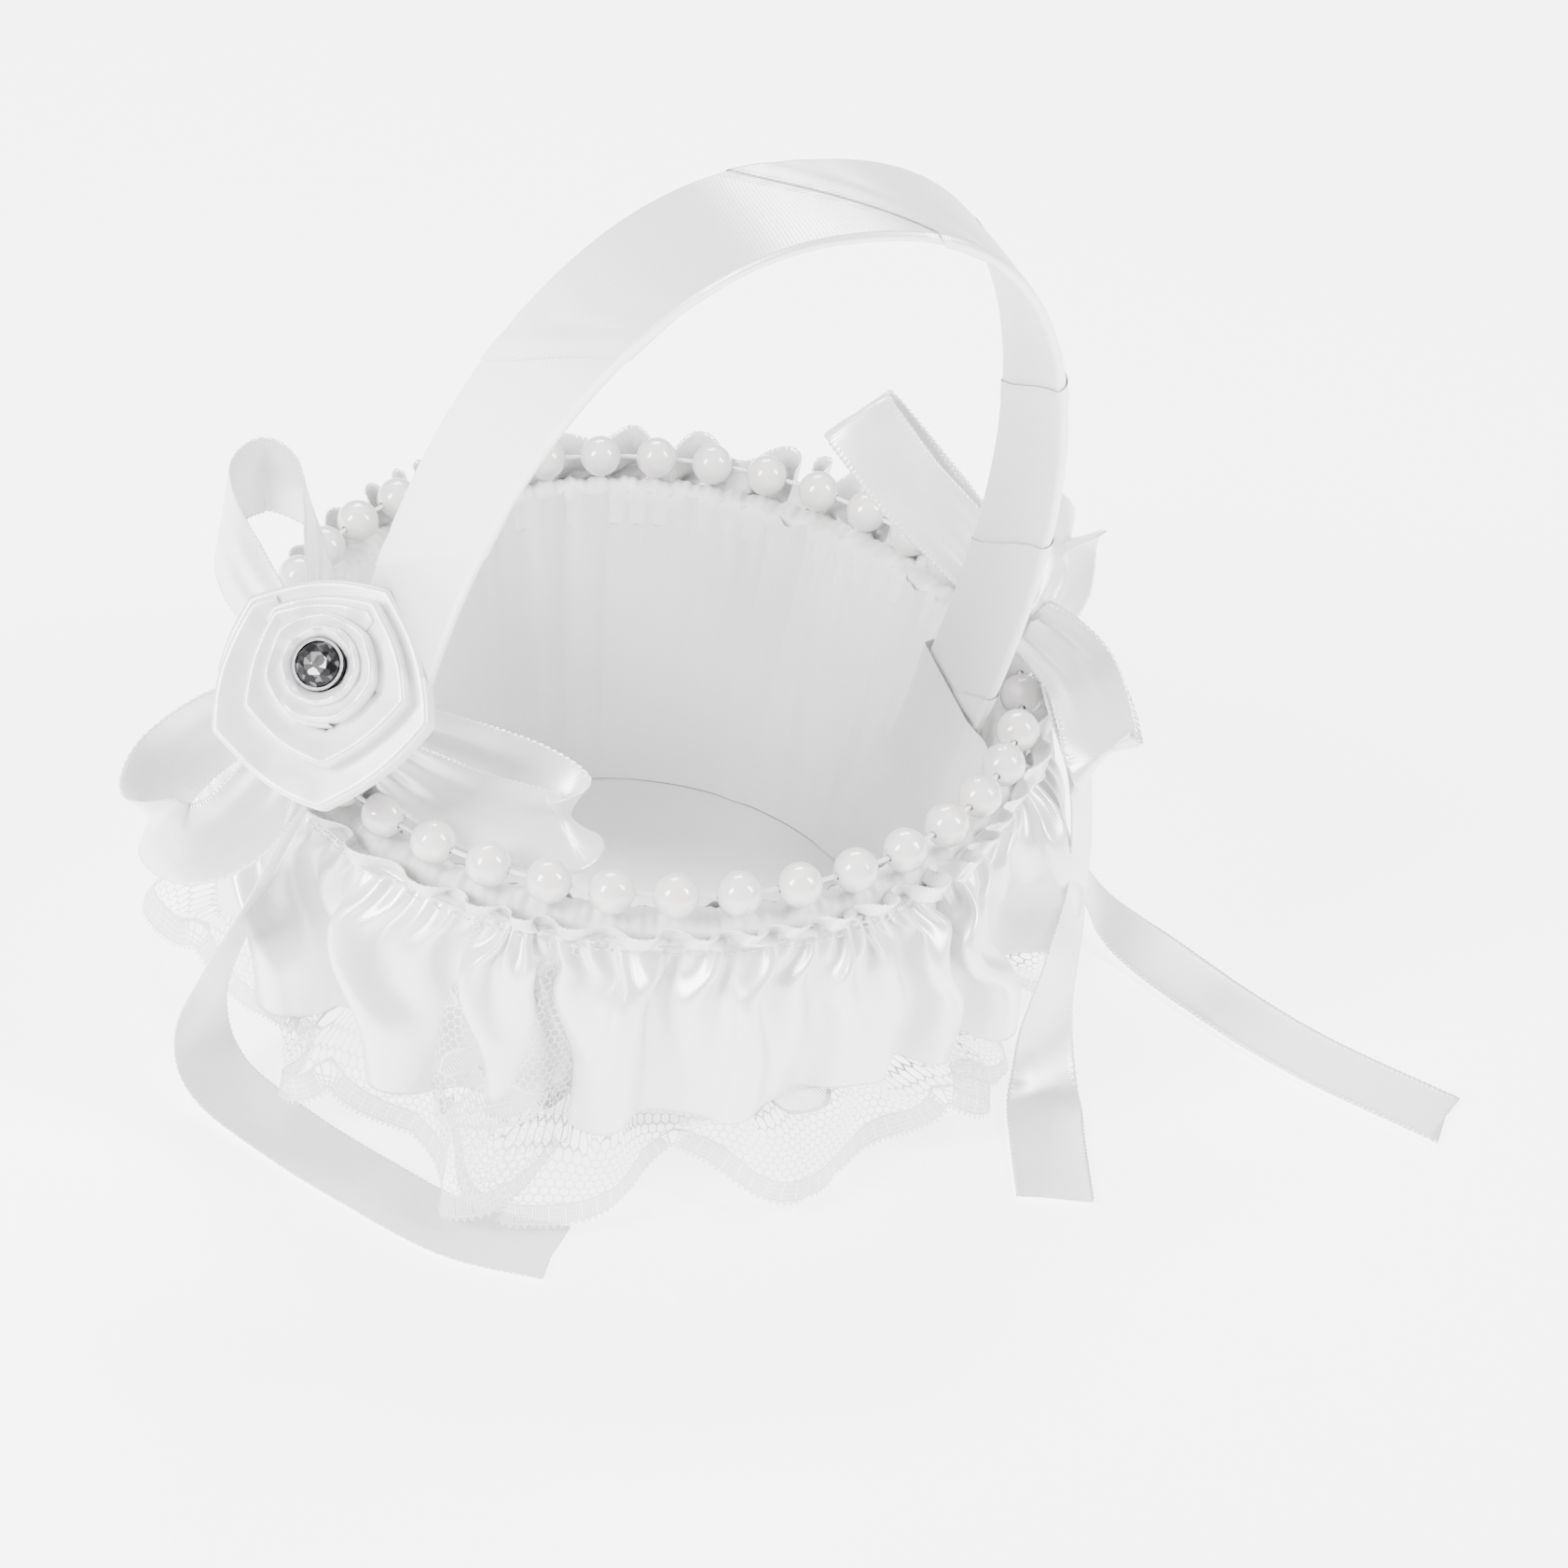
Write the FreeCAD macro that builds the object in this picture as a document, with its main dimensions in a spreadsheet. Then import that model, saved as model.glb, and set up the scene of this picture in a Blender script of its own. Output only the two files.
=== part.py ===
import FreeCAD, Part
import math
import os
import Sketcher

# Flower girl basket, millimetres.
# Origin: centre of the underside. +Z up. +X runs along the span of the handle, from the near bow to the far bow.

V = FreeCAD.Vector
doc = FreeCAD.newDocument("FlowerGirlBasket")

# ---------------------------------------------------------------- driving dimensions
sheet = doc.addObject("Spreadsheet::Sheet", "Sizes")
CELLS = [
    ("tub_height", 65.0),
    ("tub_top_radius", 71.0),
    ("tub_base_radius", 53.0),
    ("wall", 2.0),
    ("cloth", 0.6),
    ("gap", 0.2),
    ("floor_pad", 2.0),
    ("tape_drop", 6.0),
    ("bead_circle", 72.0),
    ("bead_height", 72.0),
    ("bead_diameter", 8.4),
    ("bead_count", 39),
    ("bead_bore", 1.4),
    ("thread_diameter", 0.8),
    ("stitch_diameter", 0.6),
    ("satin_hem_radius", 78.0),
    ("satin_hem_height", 20.0),
    ("lace_hem_radius", 82.0),
    ("lace_hem_height", 2.4),
    ("skirt_cloth", 0.8),
    ("header_rise", 1.0),
    ("gather_drop", 2.5),
    ("satin_bulge", 2.0),
    ("satin_bulge_height", 42.5),
    ("lace_top_drop", 8.0),
    ("lace_bulge", 8.0),
    ("lace_bulge_height", 29.3),
    ("cover_hem", 0.5),
    ("foot_radius", 57.8),
    ("foot_offset", 16.0),
    ("hoop_length", 160.6),
    ("hoop_lean", 23.6),
    ("hoop_apex_shift", 1.9),
    ("hoop_foot_drop", 34.0),
    ("strip_width", 23.0),
    ("strip_thickness", 1.0),
    ("wrap_width", 25.0),
    ("wrap_thickness", 1.9),
    ("bow_ribbon_width", 15.0),
    ("bow_ribbon_thickness", 0.6),
    ("knot_length", 10.5),
    ("knot_width", 12.0),
    ("knot_thickness", 3.6),
    ("rose_radius", 20.0),
    ("rose_depth", 11.0),
    ("rose_lip", 1.0),
    ("felt_radius", 13.0),
    ("felt_thickness", 1.0),
    ("heart_radius", 8.5),
    ("stone_diameter", 8.0),
    ("cup_diameter", 9.4),
    ("cup_height", 3.0),
    ("cup_wall", 0.5),
    ("cup_chamfer", 0.6),
]
for row, (alias, value) in enumerate(CELLS, start=1):
    sheet.set("A%d" % row, alias)
    sheet.set("B%d" % row, str(value))
    sheet.setAlias("B%d" % row, alias)
doc.recompute()


def size(alias):
    """The number in one cell of the sheet."""
    return float(sheet.get(alias))


NODES = []


def listed(item, label, placement=None):
    """Give a finished sub-part its name and place, and list it for writing out."""
    item.Label = label
    if placement is not None:
        item.Placement = placement
    NODES.append(item)
    return item


def facing(base, normal):
    """Placement at base with the local Z axis along normal."""
    return FreeCAD.Placement(base, FreeCAD.Rotation(V(0, 0, 1), normal))


# ---------------------------------------------------------------- turned pieces
def turned(label, corners, placement=None):
    """A ring or disc: a closed outline of (radius, height) expressions, revolved about the Z axis."""
    body = doc.addObject("PartDesign::Body", "Body_" + label)
    sketch = body.newObject("Sketcher::SketchObject", "Outline_" + label)
    plane = [item for item in body.Origin.OriginFeatures if item.Role == "XZ_Plane"][0]
    sketch.AttachmentSupport = [(plane, "")]
    sketch.MapMode = "FlatFace"
    points = [V(sheet.evalExpression(x), sheet.evalExpression(y), 0) for x, y in corners]
    count = len(points)
    for i in range(count):
        sketch.addGeometry(Part.LineSegment(points[i], points[(i + 1) % count]), False)
    for i in range(count):
        sketch.addConstraint(Sketcher.Constraint("Coincident", i, 2, (i + 1) % count, 1))
    for i in range(count):
        across = sketch.addConstraint(Sketcher.Constraint("DistanceX", -1, 1, i, 1, points[i].x))
        sketch.setExpression("Constraints[%d]" % across, corners[i][0])
        upward = sketch.addConstraint(Sketcher.Constraint("DistanceY", -1, 1, i, 1, points[i].y))
        sketch.setExpression("Constraints[%d]" % upward, corners[i][1])
    ring = body.newObject("PartDesign::Revolution", "Turn_" + label)
    ring.Profile = sketch
    ring.ReferenceAxis = (sketch, ["V_Axis"])
    ring.Angle = 360.0
    body.Tip = ring
    return listed(body, label, placement)


# ---------------------------------------------------------------- tub, cover and lining
TAPER = "(Sizes.tub_top_radius - Sizes.tub_base_radius) / Sizes.tub_height"


def wall_radius(height, offset):
    """Expression for the radius of the tub's outer face at a height, plus an offset."""
    return "Sizes.tub_base_radius + %s * (%s) + (%s)" % (TAPER, height, offset)


TOP = "Sizes.tub_height"
turned("tub_wall", [
    (wall_radius("0", "0"), "0"),
    (wall_radius(TOP, "0"), TOP),
    (wall_radius(TOP, "-Sizes.wall"), TOP),
    (wall_radius("0", "-Sizes.wall"), "0"),
])
turned("tub_base", [
    ("0", "0"),
    (wall_radius("0", "-Sizes.wall - Sizes.gap"), "0"),
    (wall_radius("0", "-Sizes.wall - Sizes.gap"), "Sizes.wall"),
    ("0", "Sizes.wall"),
])
turned("outer_cover", [
    (wall_radius("Sizes.cover_hem", "Sizes.gap"), "Sizes.cover_hem"),
    (wall_radius(TOP, "Sizes.gap"), TOP),
    (wall_radius(TOP, "Sizes.gap + Sizes.cloth"), TOP),
    (wall_radius("Sizes.cover_hem", "Sizes.gap + Sizes.cloth"), "Sizes.cover_hem"),
])
FLOOR = "Sizes.wall + Sizes.gap"
FLOOR_EDGE = wall_radius(FLOOR, "-Sizes.wall - 2 * Sizes.cloth")
turned("floor_lining", [
    ("0", FLOOR),
    (FLOOR_EDGE, FLOOR),
    (FLOOR_EDGE, "Sizes.wall + Sizes.floor_pad"),
    ("0", "Sizes.wall + Sizes.floor_pad"),
])
LINING_FOOT = "Sizes.wall + Sizes.floor_pad + Sizes.gap"
turned("wall_lining", [
    (wall_radius(LINING_FOOT, "-Sizes.wall - Sizes.gap"), LINING_FOOT),
    (wall_radius(TOP, "-Sizes.wall - Sizes.gap"), TOP),
    (wall_radius(TOP, "-Sizes.wall - Sizes.gap - Sizes.cloth"), TOP),
    (wall_radius(LINING_FOOT, "-Sizes.wall - Sizes.gap - Sizes.cloth"), LINING_FOOT),
])
TAPE_IN = "Sizes.tub_top_radius - Sizes.wall - 2 * Sizes.gap - 2 * Sizes.cloth"
TAPE_OUT = "Sizes.tub_top_radius + 2 * Sizes.gap + 2 * Sizes.cloth"
TAPE_FOOT = "Sizes.tub_height - Sizes.tape_drop"
SLOPE_IN = "Sizes.tape_drop * " + TAPER
turned("rim_tape", [
    (TAPE_IN + " - " + SLOPE_IN, TAPE_FOOT),
    (TAPE_IN, "Sizes.tub_height + Sizes.gap + Sizes.cloth"),
    (TAPE_OUT, "Sizes.tub_height + Sizes.gap + Sizes.cloth"),
    (TAPE_OUT, TAPE_FOOT),
    (TAPE_OUT + " - Sizes.cloth", TAPE_FOOT),
    (TAPE_OUT + " - Sizes.cloth", "Sizes.tub_height + Sizes.gap"),
    (TAPE_IN + " + Sizes.cloth", "Sizes.tub_height + Sizes.gap"),
    (TAPE_IN + " + Sizes.cloth - " + SLOPE_IN, TAPE_FOOT),
])

# ---------------------------------------------------------------- skirts
SKIRT_TOP = "Sizes.tub_top_radius + 4 * Sizes.gap + 2 * Sizes.cloth"


def skirt(label, bends):
    """A flared skirt of one cloth thickness, from its bends (radius, height), top to hem."""
    outer = [(radius + " + Sizes.skirt_cloth", height) for radius, height in bends]
    return turned(label, bends + outer[::-1])


skirt("satin_ruffle", [
    (SKIRT_TOP + " + Sizes.cloth", "Sizes.tub_height + Sizes.header_rise"),
    (SKIRT_TOP + " + Sizes.cloth", "Sizes.tub_height - Sizes.gather_drop"),
    ("Sizes.satin_hem_radius - Sizes.satin_bulge", "Sizes.satin_bulge_height"),
    ("Sizes.satin_hem_radius", "Sizes.satin_hem_height"),
])
skirt("lace_ruffle", [
    (SKIRT_TOP, "Sizes.tub_height - Sizes.lace_top_drop"),
    ("Sizes.lace_hem_radius - Sizes.lace_bulge", "Sizes.lace_bulge_height"),
    ("Sizes.lace_hem_radius", "Sizes.lace_hem_height"),
])

# ---------------------------------------------------------------- pearls on their thread
thread = doc.addObject("Part::Torus", "Thread")
thread.setExpression("Radius1", "Sizes.bead_circle")
thread.setExpression("Radius2", "0.5 * Sizes.thread_diameter")
listed(thread, "pearl_thread", FreeCAD.Placement(V(0, 0, size("bead_height")), FreeCAD.Rotation()))

stitch = doc.addObject("Part::Torus", "Stitch")
stitch.setExpression("Radius1", SKIRT_TOP + " + 2 * Sizes.cloth + Sizes.skirt_cloth")
stitch.setExpression("Radius2", "0.5 * Sizes.stitch_diameter")
stitch_height = size("tub_height") - size("gather_drop")
listed(stitch, "gather_thread", FreeCAD.Placement(V(0, 0, stitch_height), FreeCAD.Rotation()))


def pearl(turn):
    """One bead on the rim circle, bored along the thread."""
    circle = size("bead_circle")
    ball = Part.makeSphere(0.5 * size("bead_diameter"), V(circle, 0, 0))
    bore = Part.makeCylinder(0.5 * size("bead_bore"), 2 * size("bead_diameter"),
                             V(circle, -size("bead_diameter"), 0), V(0, 1, 0))
    bead = ball.cut(bore)
    bead.rotate(V(0, 0, 0), V(0, 0, 1), turn)
    return bead


pearls = doc.addObject("Part::Feature", "Pearls")
bead_count = int(size("bead_count"))
pearls.Shape = Part.Compound([pearl(360.0 * i / bead_count) for i in range(bead_count)])
listed(pearls, "rim_pearls", FreeCAD.Placement(V(0, 0, size("bead_height")), FreeCAD.Rotation()))


# ---------------------------------------------------------------- flat strips that bend and twist
def smooth(points, count):
    """Points evenly spread by parameter on the spline through the given ones, with their tangents."""
    curve = Part.BSplineCurve()
    curve.interpolate([V(*p) for p in points])
    first, last = curve.FirstParameter, curve.LastParameter
    steps = [first + (last - first) * i / count for i in range(count + 1)]
    return [(curve.value(u), curve.tangent(u)[0]) for u in steps]


def with_tangents(points):
    """Each point with the direction from the point before it to the point after it."""
    route = []
    for i, point in enumerate(points):
        tangent = points[min(i + 1, len(points) - 1)] - points[max(i - 1, 0)]
        tangent.normalize()
        route.append((point, tangent))
    return route


def strip(route, acrosses, width, thickness):
    """A strip with a rectangular section that follows a route of (point, tangent) pairs.

    acrosses holds one direction of the strip's width for each pair.
    """
    sections = []
    for (point, tangent), across in zip(route, acrosses):
        side = across - tangent * across.dot(tangent)
        side.normalize()
        up = tangent.cross(side)
        corners = []
        for a, b in ((-1, -1), (1, -1), (1, 1), (-1, 1)):
            corners.append(point + side * (a * width / 2) + up * (b * thickness / 2))
        sections.append(Part.makePolygon(corners + corners[:1]))
    return Part.makeLoft(sections, True, True)


def blend(directions, count):
    """Directions that turn evenly from each of the given ones to the next."""
    turned_ones = []
    for i in range(count + 1):
        place = (len(directions) - 1) * i / count
        k = min(int(place), len(directions) - 2)
        share = place - k
        turned_ones.append(V(*directions[k]) * (1 - share) + V(*directions[k + 1]) * share)
    return turned_ones


# ---------------------------------------------------------------- handle
HOOP_STEPS = 48
LEG_STEPS = 4
HOOP_POWER = 0.88


def hoop_route():
    """The hoop from the near foot to the far foot: straight legs below the rim and a squared arch."""
    lean = math.radians(size("hoop_lean"))
    rise = V(0, -math.sin(lean), math.cos(lean))
    middle = V(0, -size("foot_offset"), size("bead_height"))
    points = []
    near_foot = middle + V(-size("foot_radius"), 0, 0)
    far_foot = middle + V(size("foot_radius"), 0, 0)
    for i in range(LEG_STEPS):
        points.append(near_foot - rise * (size("hoop_foot_drop") * (1 - i / LEG_STEPS)))
    for i in range(HOOP_STEPS + 1):
        angle = math.pi * i / HOOP_STEPS
        reach = -math.copysign(abs(math.cos(angle)) ** HOOP_POWER, math.cos(angle))
        height = max(math.sin(angle), 0.0) ** HOOP_POWER
        shift = V(reach * size("foot_radius") - height * size("hoop_apex_shift"), 0, 0)
        points.append(middle + shift + rise * (height * size("hoop_length")))
    for i in range(LEG_STEPS):
        points.append(far_foot - rise * (size("hoop_foot_drop") * (i + 1) / LEG_STEPS))
    return with_tangents(points)


HOOP = hoop_route()
HOOP_ACROSS = blend([(0.26, -0.965, 0), (0, -1, 0)], len(HOOP) - 1)


def hoop_strip(width, thickness):
    return strip(HOOP, HOOP_ACROSS, width, thickness)


core = doc.addObject("Part::Feature", "HandleCore")
core.Shape = hoop_strip(size("strip_width"), size("strip_thickness"))
listed(core, "handle_core")

wrap = doc.addObject("Part::Feature", "HandleWrap")
room = 2 * size("gap")
wrap.Shape = hoop_strip(size("wrap_width"), size("wrap_thickness")).cut(
    hoop_strip(size("strip_width") + room, size("strip_thickness") + room))
listed(wrap, "handle_wrap")


# ---------------------------------------------------------------- bows
LOOP_STEPS = 28
TAIL_STEPS = 40
LOOP_OPENING = 0.03


def loop_strip(foot, tip, across, fullness):
    """A ribbon loop: out from the foot, round the tip and back, open in the middle."""
    reach = V(*tip) - V(*foot)
    length = reach.Length
    ahead = reach / length
    wide = V(*across)
    wide = wide - ahead * wide.dot(ahead)
    wide.normalize()
    side = ahead.cross(wide)
    points = []
    for i in range(LOOP_STEPS + 1):
        turn = math.pi * (LOOP_OPENING + (1 - 2 * LOOP_OPENING) * i / LOOP_STEPS)
        points.append(V(*foot) + ahead * (length * math.sin(turn)) + side * (fullness / 2 * math.sin(2 * turn)))
    return strip(with_tangents(points), [wide] * len(points), size("bow_ribbon_width"), size("bow_ribbon_thickness"))


def ribbon_loop(label, foot, tip, across, fullness):
    loop = doc.addObject("Part::Feature", "Loop_" + label)
    loop.Shape = loop_strip(foot, tip, across, fullness)
    return listed(loop, label)


def ribbon_tail(label, points, acrosses):
    tail = doc.addObject("Part::Feature", "Tail_" + label)
    route = smooth(points, TAIL_STEPS)
    tail.Shape = strip(route, blend(acrosses, TAIL_STEPS), size("bow_ribbon_width"), size("bow_ribbon_thickness"))
    return listed(tail, label)


ribbon_loop("near_bow_upper_loop", (-71, -4, 99), (-72, 24, 107), (0.0, -0.1, -1.0), 16)
ribbon_loop("near_bow_lower_loop", (-82, -26, 84), (-102, -31, 72), (0.14, -0.65, -0.75), 14)
ribbon_loop("near_bow_inner_loop", (-53, -38, 81), (-29, -50, 76), (-0.29, 0.66, 0.69), 9)
ribbon_tail("near_bow_tail", [
    (-76, -31, 70), (-80, -28, 54), (-88, -23, 30), (-91, -22, 15), (-88.5, -28.5, 4.6), (-78, -43, 1.0),
    (-66, -59, 1.0), (-52, -75, 1.0), (-36, -84, 1.0),
], [(0.3, 0.95, 0), (0.84, 0.54, 0), (0.49, 0.87, 0)])

ribbon_loop("far_bow_upper_loop", (63, 0, 92), (46, 22, 109.5), (0.92, -0.03, 0.38), 10)
ribbon_loop("far_bow_lower_loop", (77.5, -22, 84), (83.5, -38, 68), (0.75, 0.28, 0.60), 9)
ribbon_loop("far_bow_back_loop", (71, -4, 86), (84, 7, 87), (0.1, 0.6, 0.79), 7)
ribbon_tail("far_bow_right_tail", [
    (78, -3, 68), (82, -3, 48), (88, -3, 26), (96, -7, 9), (103, -15, 1.8),
    (114, -37, 1.0), (127, -58, 1.0), (147, -81, 1.0),
], [(0, 1, 0), (0.8, 0.6, 0)])
ribbon_tail("far_bow_front_tail", [
    (75, -36, 61), (74.5, -39, 48), (73, -43, 30), (71, -48, 12), (69, -57, 2.4), (66, -70, 1.0), (62, -88, 1.0),
], [(0.48, 0.88, 0), (0.98, 0.2, 0)])

# ---------------------------------------------------------------- rosettes
ROSE = facing(V(-67.9, -30.2, 98.6), V(-0.455, -0.611, 0.648))
FAR_KNOT = facing(V(66.5, -14.0, 86.0), V(1, 0, 0))


def knot(label, place):
    """The gathered middle of a bow: a short block of wound ribbon, just behind the given place."""
    band = doc.addObject("Part::Box", "Knot_" + label)
    band.setExpression("Length", "Sizes.knot_length")
    band.setExpression("Width", "Sizes.knot_width")
    band.setExpression("Height", "Sizes.knot_thickness")
    corner = V(-size("knot_length") / 2, -size("knot_width") / 2, -size("knot_thickness") - size("gap"))
    return listed(band, label, place.multiply(FreeCAD.Placement(corner, FreeCAD.Rotation())))


def rosette(placement):
    """Felt disc, folded petals, rolled heart, cup and stone, stacked along the placement's Z axis."""
    base = "Sizes.felt_thickness + Sizes.gap"
    turned("rose_felt", [
        ("0", "0"),
        ("Sizes.felt_radius", "0"),
        ("Sizes.felt_radius", "Sizes.felt_thickness"),
        ("0", "Sizes.felt_thickness"),
    ], placement)
    waist = "0.45 * Sizes.rose_depth"
    turned("rose_petals", [
        ("0", base),
        ("0.75 * Sizes.rose_radius", base),
        ("Sizes.rose_radius", "0.35 * Sizes.rose_depth"),
        ("Sizes.rose_radius", "0.6 * Sizes.rose_depth"),
        ("0.8 * Sizes.rose_radius", "Sizes.rose_depth"),
        ("Sizes.heart_radius + Sizes.rose_lip", "Sizes.rose_depth"),
        ("Sizes.heart_radius + Sizes.gap", waist),
        ("0", waist),
    ], placement)
    cup_radius = "0.5 * Sizes.cup_diameter"
    heart_seat = "Sizes.rose_depth - Sizes.cloth"
    turned("rose_heart", [
        ("0", waist + " + Sizes.gap"),
        ("Sizes.heart_radius - 2 * Sizes.gap", waist + " + Sizes.gap"),
        ("Sizes.heart_radius", "Sizes.rose_depth"),
        (cup_radius + " + Sizes.cloth", "Sizes.rose_depth + Sizes.rose_lip"),
        (cup_radius + " + Sizes.gap", heart_seat),
        ("0", heart_seat),
    ], placement)
    seat = heart_seat + " + Sizes.gap"
    turned("stone_cup", [
        ("0", seat),
        (cup_radius + " - Sizes.cup_chamfer", seat),
        (cup_radius, seat + " + Sizes.cup_chamfer"),
        (cup_radius, seat + " + Sizes.cup_height"),
        (cup_radius + " - Sizes.cup_wall", seat + " + Sizes.cup_height"),
        (cup_radius + " - Sizes.cup_wall", seat + " + 0.3 * Sizes.cup_height"),
        ("0", seat + " + Sizes.cup_wall"),
    ], placement)
    stone = doc.addObject("Part::Feature", "Stone")
    girdle = size("rose_depth") - size("cloth") + size("gap") + size("cup_height")
    stone.Shape = cut_stone(0.5 * size("stone_diameter"), girdle)
    listed(stone, "rhinestone", placement)


# The stone's rings of corners, as (share of the radius, height as a share of the radius).
TABLE_RING = (0.55, 0.34)
STAR_RING = (0.78, 0.20)
GIRDLE_RING = (1.0, 0.0)
LOWER_RING = (1.0, -0.06)
CULET_DEPTH = 0.46
STONE_SIDES = 8


def cut_stone(radius, girdle_height):
    """A round stone with a flat octagon table, star, kite and girdle facets, and a pointed back."""

    def ring(shares, turn, count):
        reach, height = shares
        corners = []
        for i in range(count):
            angle = 2 * math.pi * (i + turn) / count
            corners.append(V(radius * reach * math.cos(angle), radius * reach * math.sin(angle),
                             girdle_height + radius * height))
        return corners

    table = ring(TABLE_RING, 0, STONE_SIDES)
    star = ring(STAR_RING, 0.5, STONE_SIDES)
    girdle = ring(GIRDLE_RING, 0, 2 * STONE_SIDES)
    lower = ring(LOWER_RING, 0, 2 * STONE_SIDES)
    culet = V(0, 0, girdle_height - CULET_DEPTH * radius)
    faces = [table]
    for i in range(STONE_SIDES):
        j = (i + 1) % STONE_SIDES
        even, odd, following = girdle[2 * i], girdle[2 * i + 1], girdle[(2 * i + 2) % (2 * STONE_SIDES)]
        faces.append([table[i], star[i], table[j]])
        faces.append([table[i], star[i - 1], even])
        faces.append([table[i], even, star[i]])
        faces.append([star[i], even, odd])
        faces.append([star[i], odd, following])
    for i in range(2 * STONE_SIDES):
        j = (i + 1) % (2 * STONE_SIDES)
        faces.append([girdle[i], girdle[j], lower[j], lower[i]])
        faces.append([lower[i], lower[j], culet])
    shell = Part.Shell([Part.Face(Part.makePolygon(points + points[:1])) for points in faces])
    solid = Part.Solid(shell)
    if solid.Volume < 0:
        solid.reverse()
    return solid


rosette(ROSE)
knot("near_bow_knot", ROSE)
knot("far_bow_knot", FAR_KNOT)

# ---------------------------------------------------------------- room for the handle's legs
leg_room = doc.addObject("Part::Feature", "LegRoom")
leg_room.Shape = hoop_strip(size("wrap_width") + 4 * size("gap"), size("wrap_thickness") + 4 * size("gap"))
doc.recompute()


def with_leg_room(label):
    """Cut the handle's legs, with a little clearance, out of a soft piece that gives way to them."""
    whole = [item for item in NODES if item.Label == label][0]
    NODES.remove(whole)
    whole.Label = label + "_uncut"
    cut = doc.addObject("Part::Cut", "Cut_" + label)
    cut.Base = whole
    cut.Tool = leg_room
    listed(cut, label)


with_leg_room("wall_lining")
with_leg_room("rose_petals")
with_leg_room("rose_felt")
doc.recompute()

# ---------------------------------------------------------------- checks and files
for item in doc.Objects:
    if "Invalid" in item.State or "Error" in item.State:
        raise RuntimeError("%s did not rebuild" % item.Label)
for item in NODES:
    if item.Shape.isNull() or not item.Shape.isValid():
        raise RuntimeError("%s has no valid shape" % item.Label)
    if item.Shape.Volume <= 0:
        raise RuntimeError("%s has no volume" % item.Label)

os.makedirs("parts", exist_ok=True)
for item in NODES:
    item.Shape.exportStep(os.path.join("parts", item.Label + ".step"))
print(len(NODES), "nodes written")
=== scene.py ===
import math

import bpy
import numpy as np
from mathutils import Matrix, Vector


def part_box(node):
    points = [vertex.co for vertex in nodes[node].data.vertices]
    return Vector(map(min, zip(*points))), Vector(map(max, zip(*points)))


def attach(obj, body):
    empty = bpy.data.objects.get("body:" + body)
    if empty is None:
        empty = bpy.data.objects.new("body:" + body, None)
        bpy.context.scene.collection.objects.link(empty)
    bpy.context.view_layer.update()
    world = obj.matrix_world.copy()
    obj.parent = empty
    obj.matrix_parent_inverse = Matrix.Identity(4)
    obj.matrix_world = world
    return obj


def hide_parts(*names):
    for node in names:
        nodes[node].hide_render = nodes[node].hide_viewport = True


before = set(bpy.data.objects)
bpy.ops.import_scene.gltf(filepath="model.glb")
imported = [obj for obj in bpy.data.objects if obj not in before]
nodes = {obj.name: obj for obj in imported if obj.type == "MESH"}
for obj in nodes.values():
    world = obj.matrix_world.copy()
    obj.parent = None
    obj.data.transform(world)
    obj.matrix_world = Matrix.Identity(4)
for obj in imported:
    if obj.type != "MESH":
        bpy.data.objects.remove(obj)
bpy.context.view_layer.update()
MM = 0.001
TAU = 2 * math.pi

# ---- places read from the frame
_, WALL_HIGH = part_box("tub_wall")
TUB_TOP = WALL_HIGH[2]
TOP_RADIUS = WALL_HIGH[0]
TUB_TAPER = 18 * MM
BASE_RADIUS = TOP_RADIUS - TUB_TAPER
BEAD_LOW, BEAD_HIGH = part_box("pearl_thread")
BEAD_Z = 0.5 * (BEAD_LOW[2] + BEAD_HIGH[2])
RIBBON_WIDTH = 15 * MM


# ---- node materials
NOISE = "ShaderNodeTexNoise"
SELVEDGE_WIDE, SELVEDGE_PITCH = 1.1, 1.1  # in millimetres


class Shade:
    """A small helper that adds nodes to one material and links them."""

    def __init__(self, name):
        self.material = bpy.data.materials.new(name)
        self.material.use_nodes = True
        self.tree = self.material.node_tree
        self.surface = self.tree.nodes["Principled BSDF"]

    def node(self, kind, **settings):
        made = self.tree.nodes.new(kind)
        for key, value in settings.items():
            setattr(made, key, value)
        return made

    def link(self, source, target):
        self.tree.links.new(source, target)

    def math(self, operation, first, second=None):
        made = self.node("ShaderNodeMath", operation=operation)
        for slot, value in zip(made.inputs, (first, second)):
            if value is None:
                continue
            if isinstance(value, (int, float)):
                slot.default_value = value
            else:
                self.link(value, slot)
        return made.outputs[0]

    def set(self, **values):
        for key, value in values.items():
            self.surface.inputs[key.replace("_", " ")].default_value = value

    def texture(self, kind, scale, detail=None):
        """A texture that is laid out in the piece's own space."""
        made = self.node(kind)
        made.inputs["Scale"].default_value = scale
        if detail is not None:
            made.inputs["Detail"].default_value = detail
        self.link(self.node("ShaderNodeTexCoord").outputs["Object"], made.inputs["Vector"])
        return made

    def bump(self, height, strength, distance):
        made = self.node("ShaderNodeBump")
        made.inputs["Strength"].default_value = strength
        made.inputs["Distance"].default_value = distance
        self.link(height, made.inputs["Height"])
        self.link(made.outputs["Normal"], self.surface.inputs["Normal"])

    def ramp(self, value, low, high):
        """A ramp between two colours, driven by a value of 0 to 1."""
        made = self.node("ShaderNodeValToRGB")
        for stop, colour in zip(made.color_ramp.elements, (low, high)):
            stop.color = (*colour, 1)
        self.link(value, made.inputs["Fac"])
        return made

    def colour_by(self, source):
        self.link(source, self.surface.inputs["Base Color"])


def uv_parts(shade):
    """The U and V of a piece's map, which runs in millimetres of flat cloth."""
    uv = shade.node("ShaderNodeUVMap")
    split = shade.node("ShaderNodeSeparateXYZ")
    shade.link(uv.outputs["UV"], split.inputs[0])
    return split.outputs["X"], split.outputs["Y"]


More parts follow.
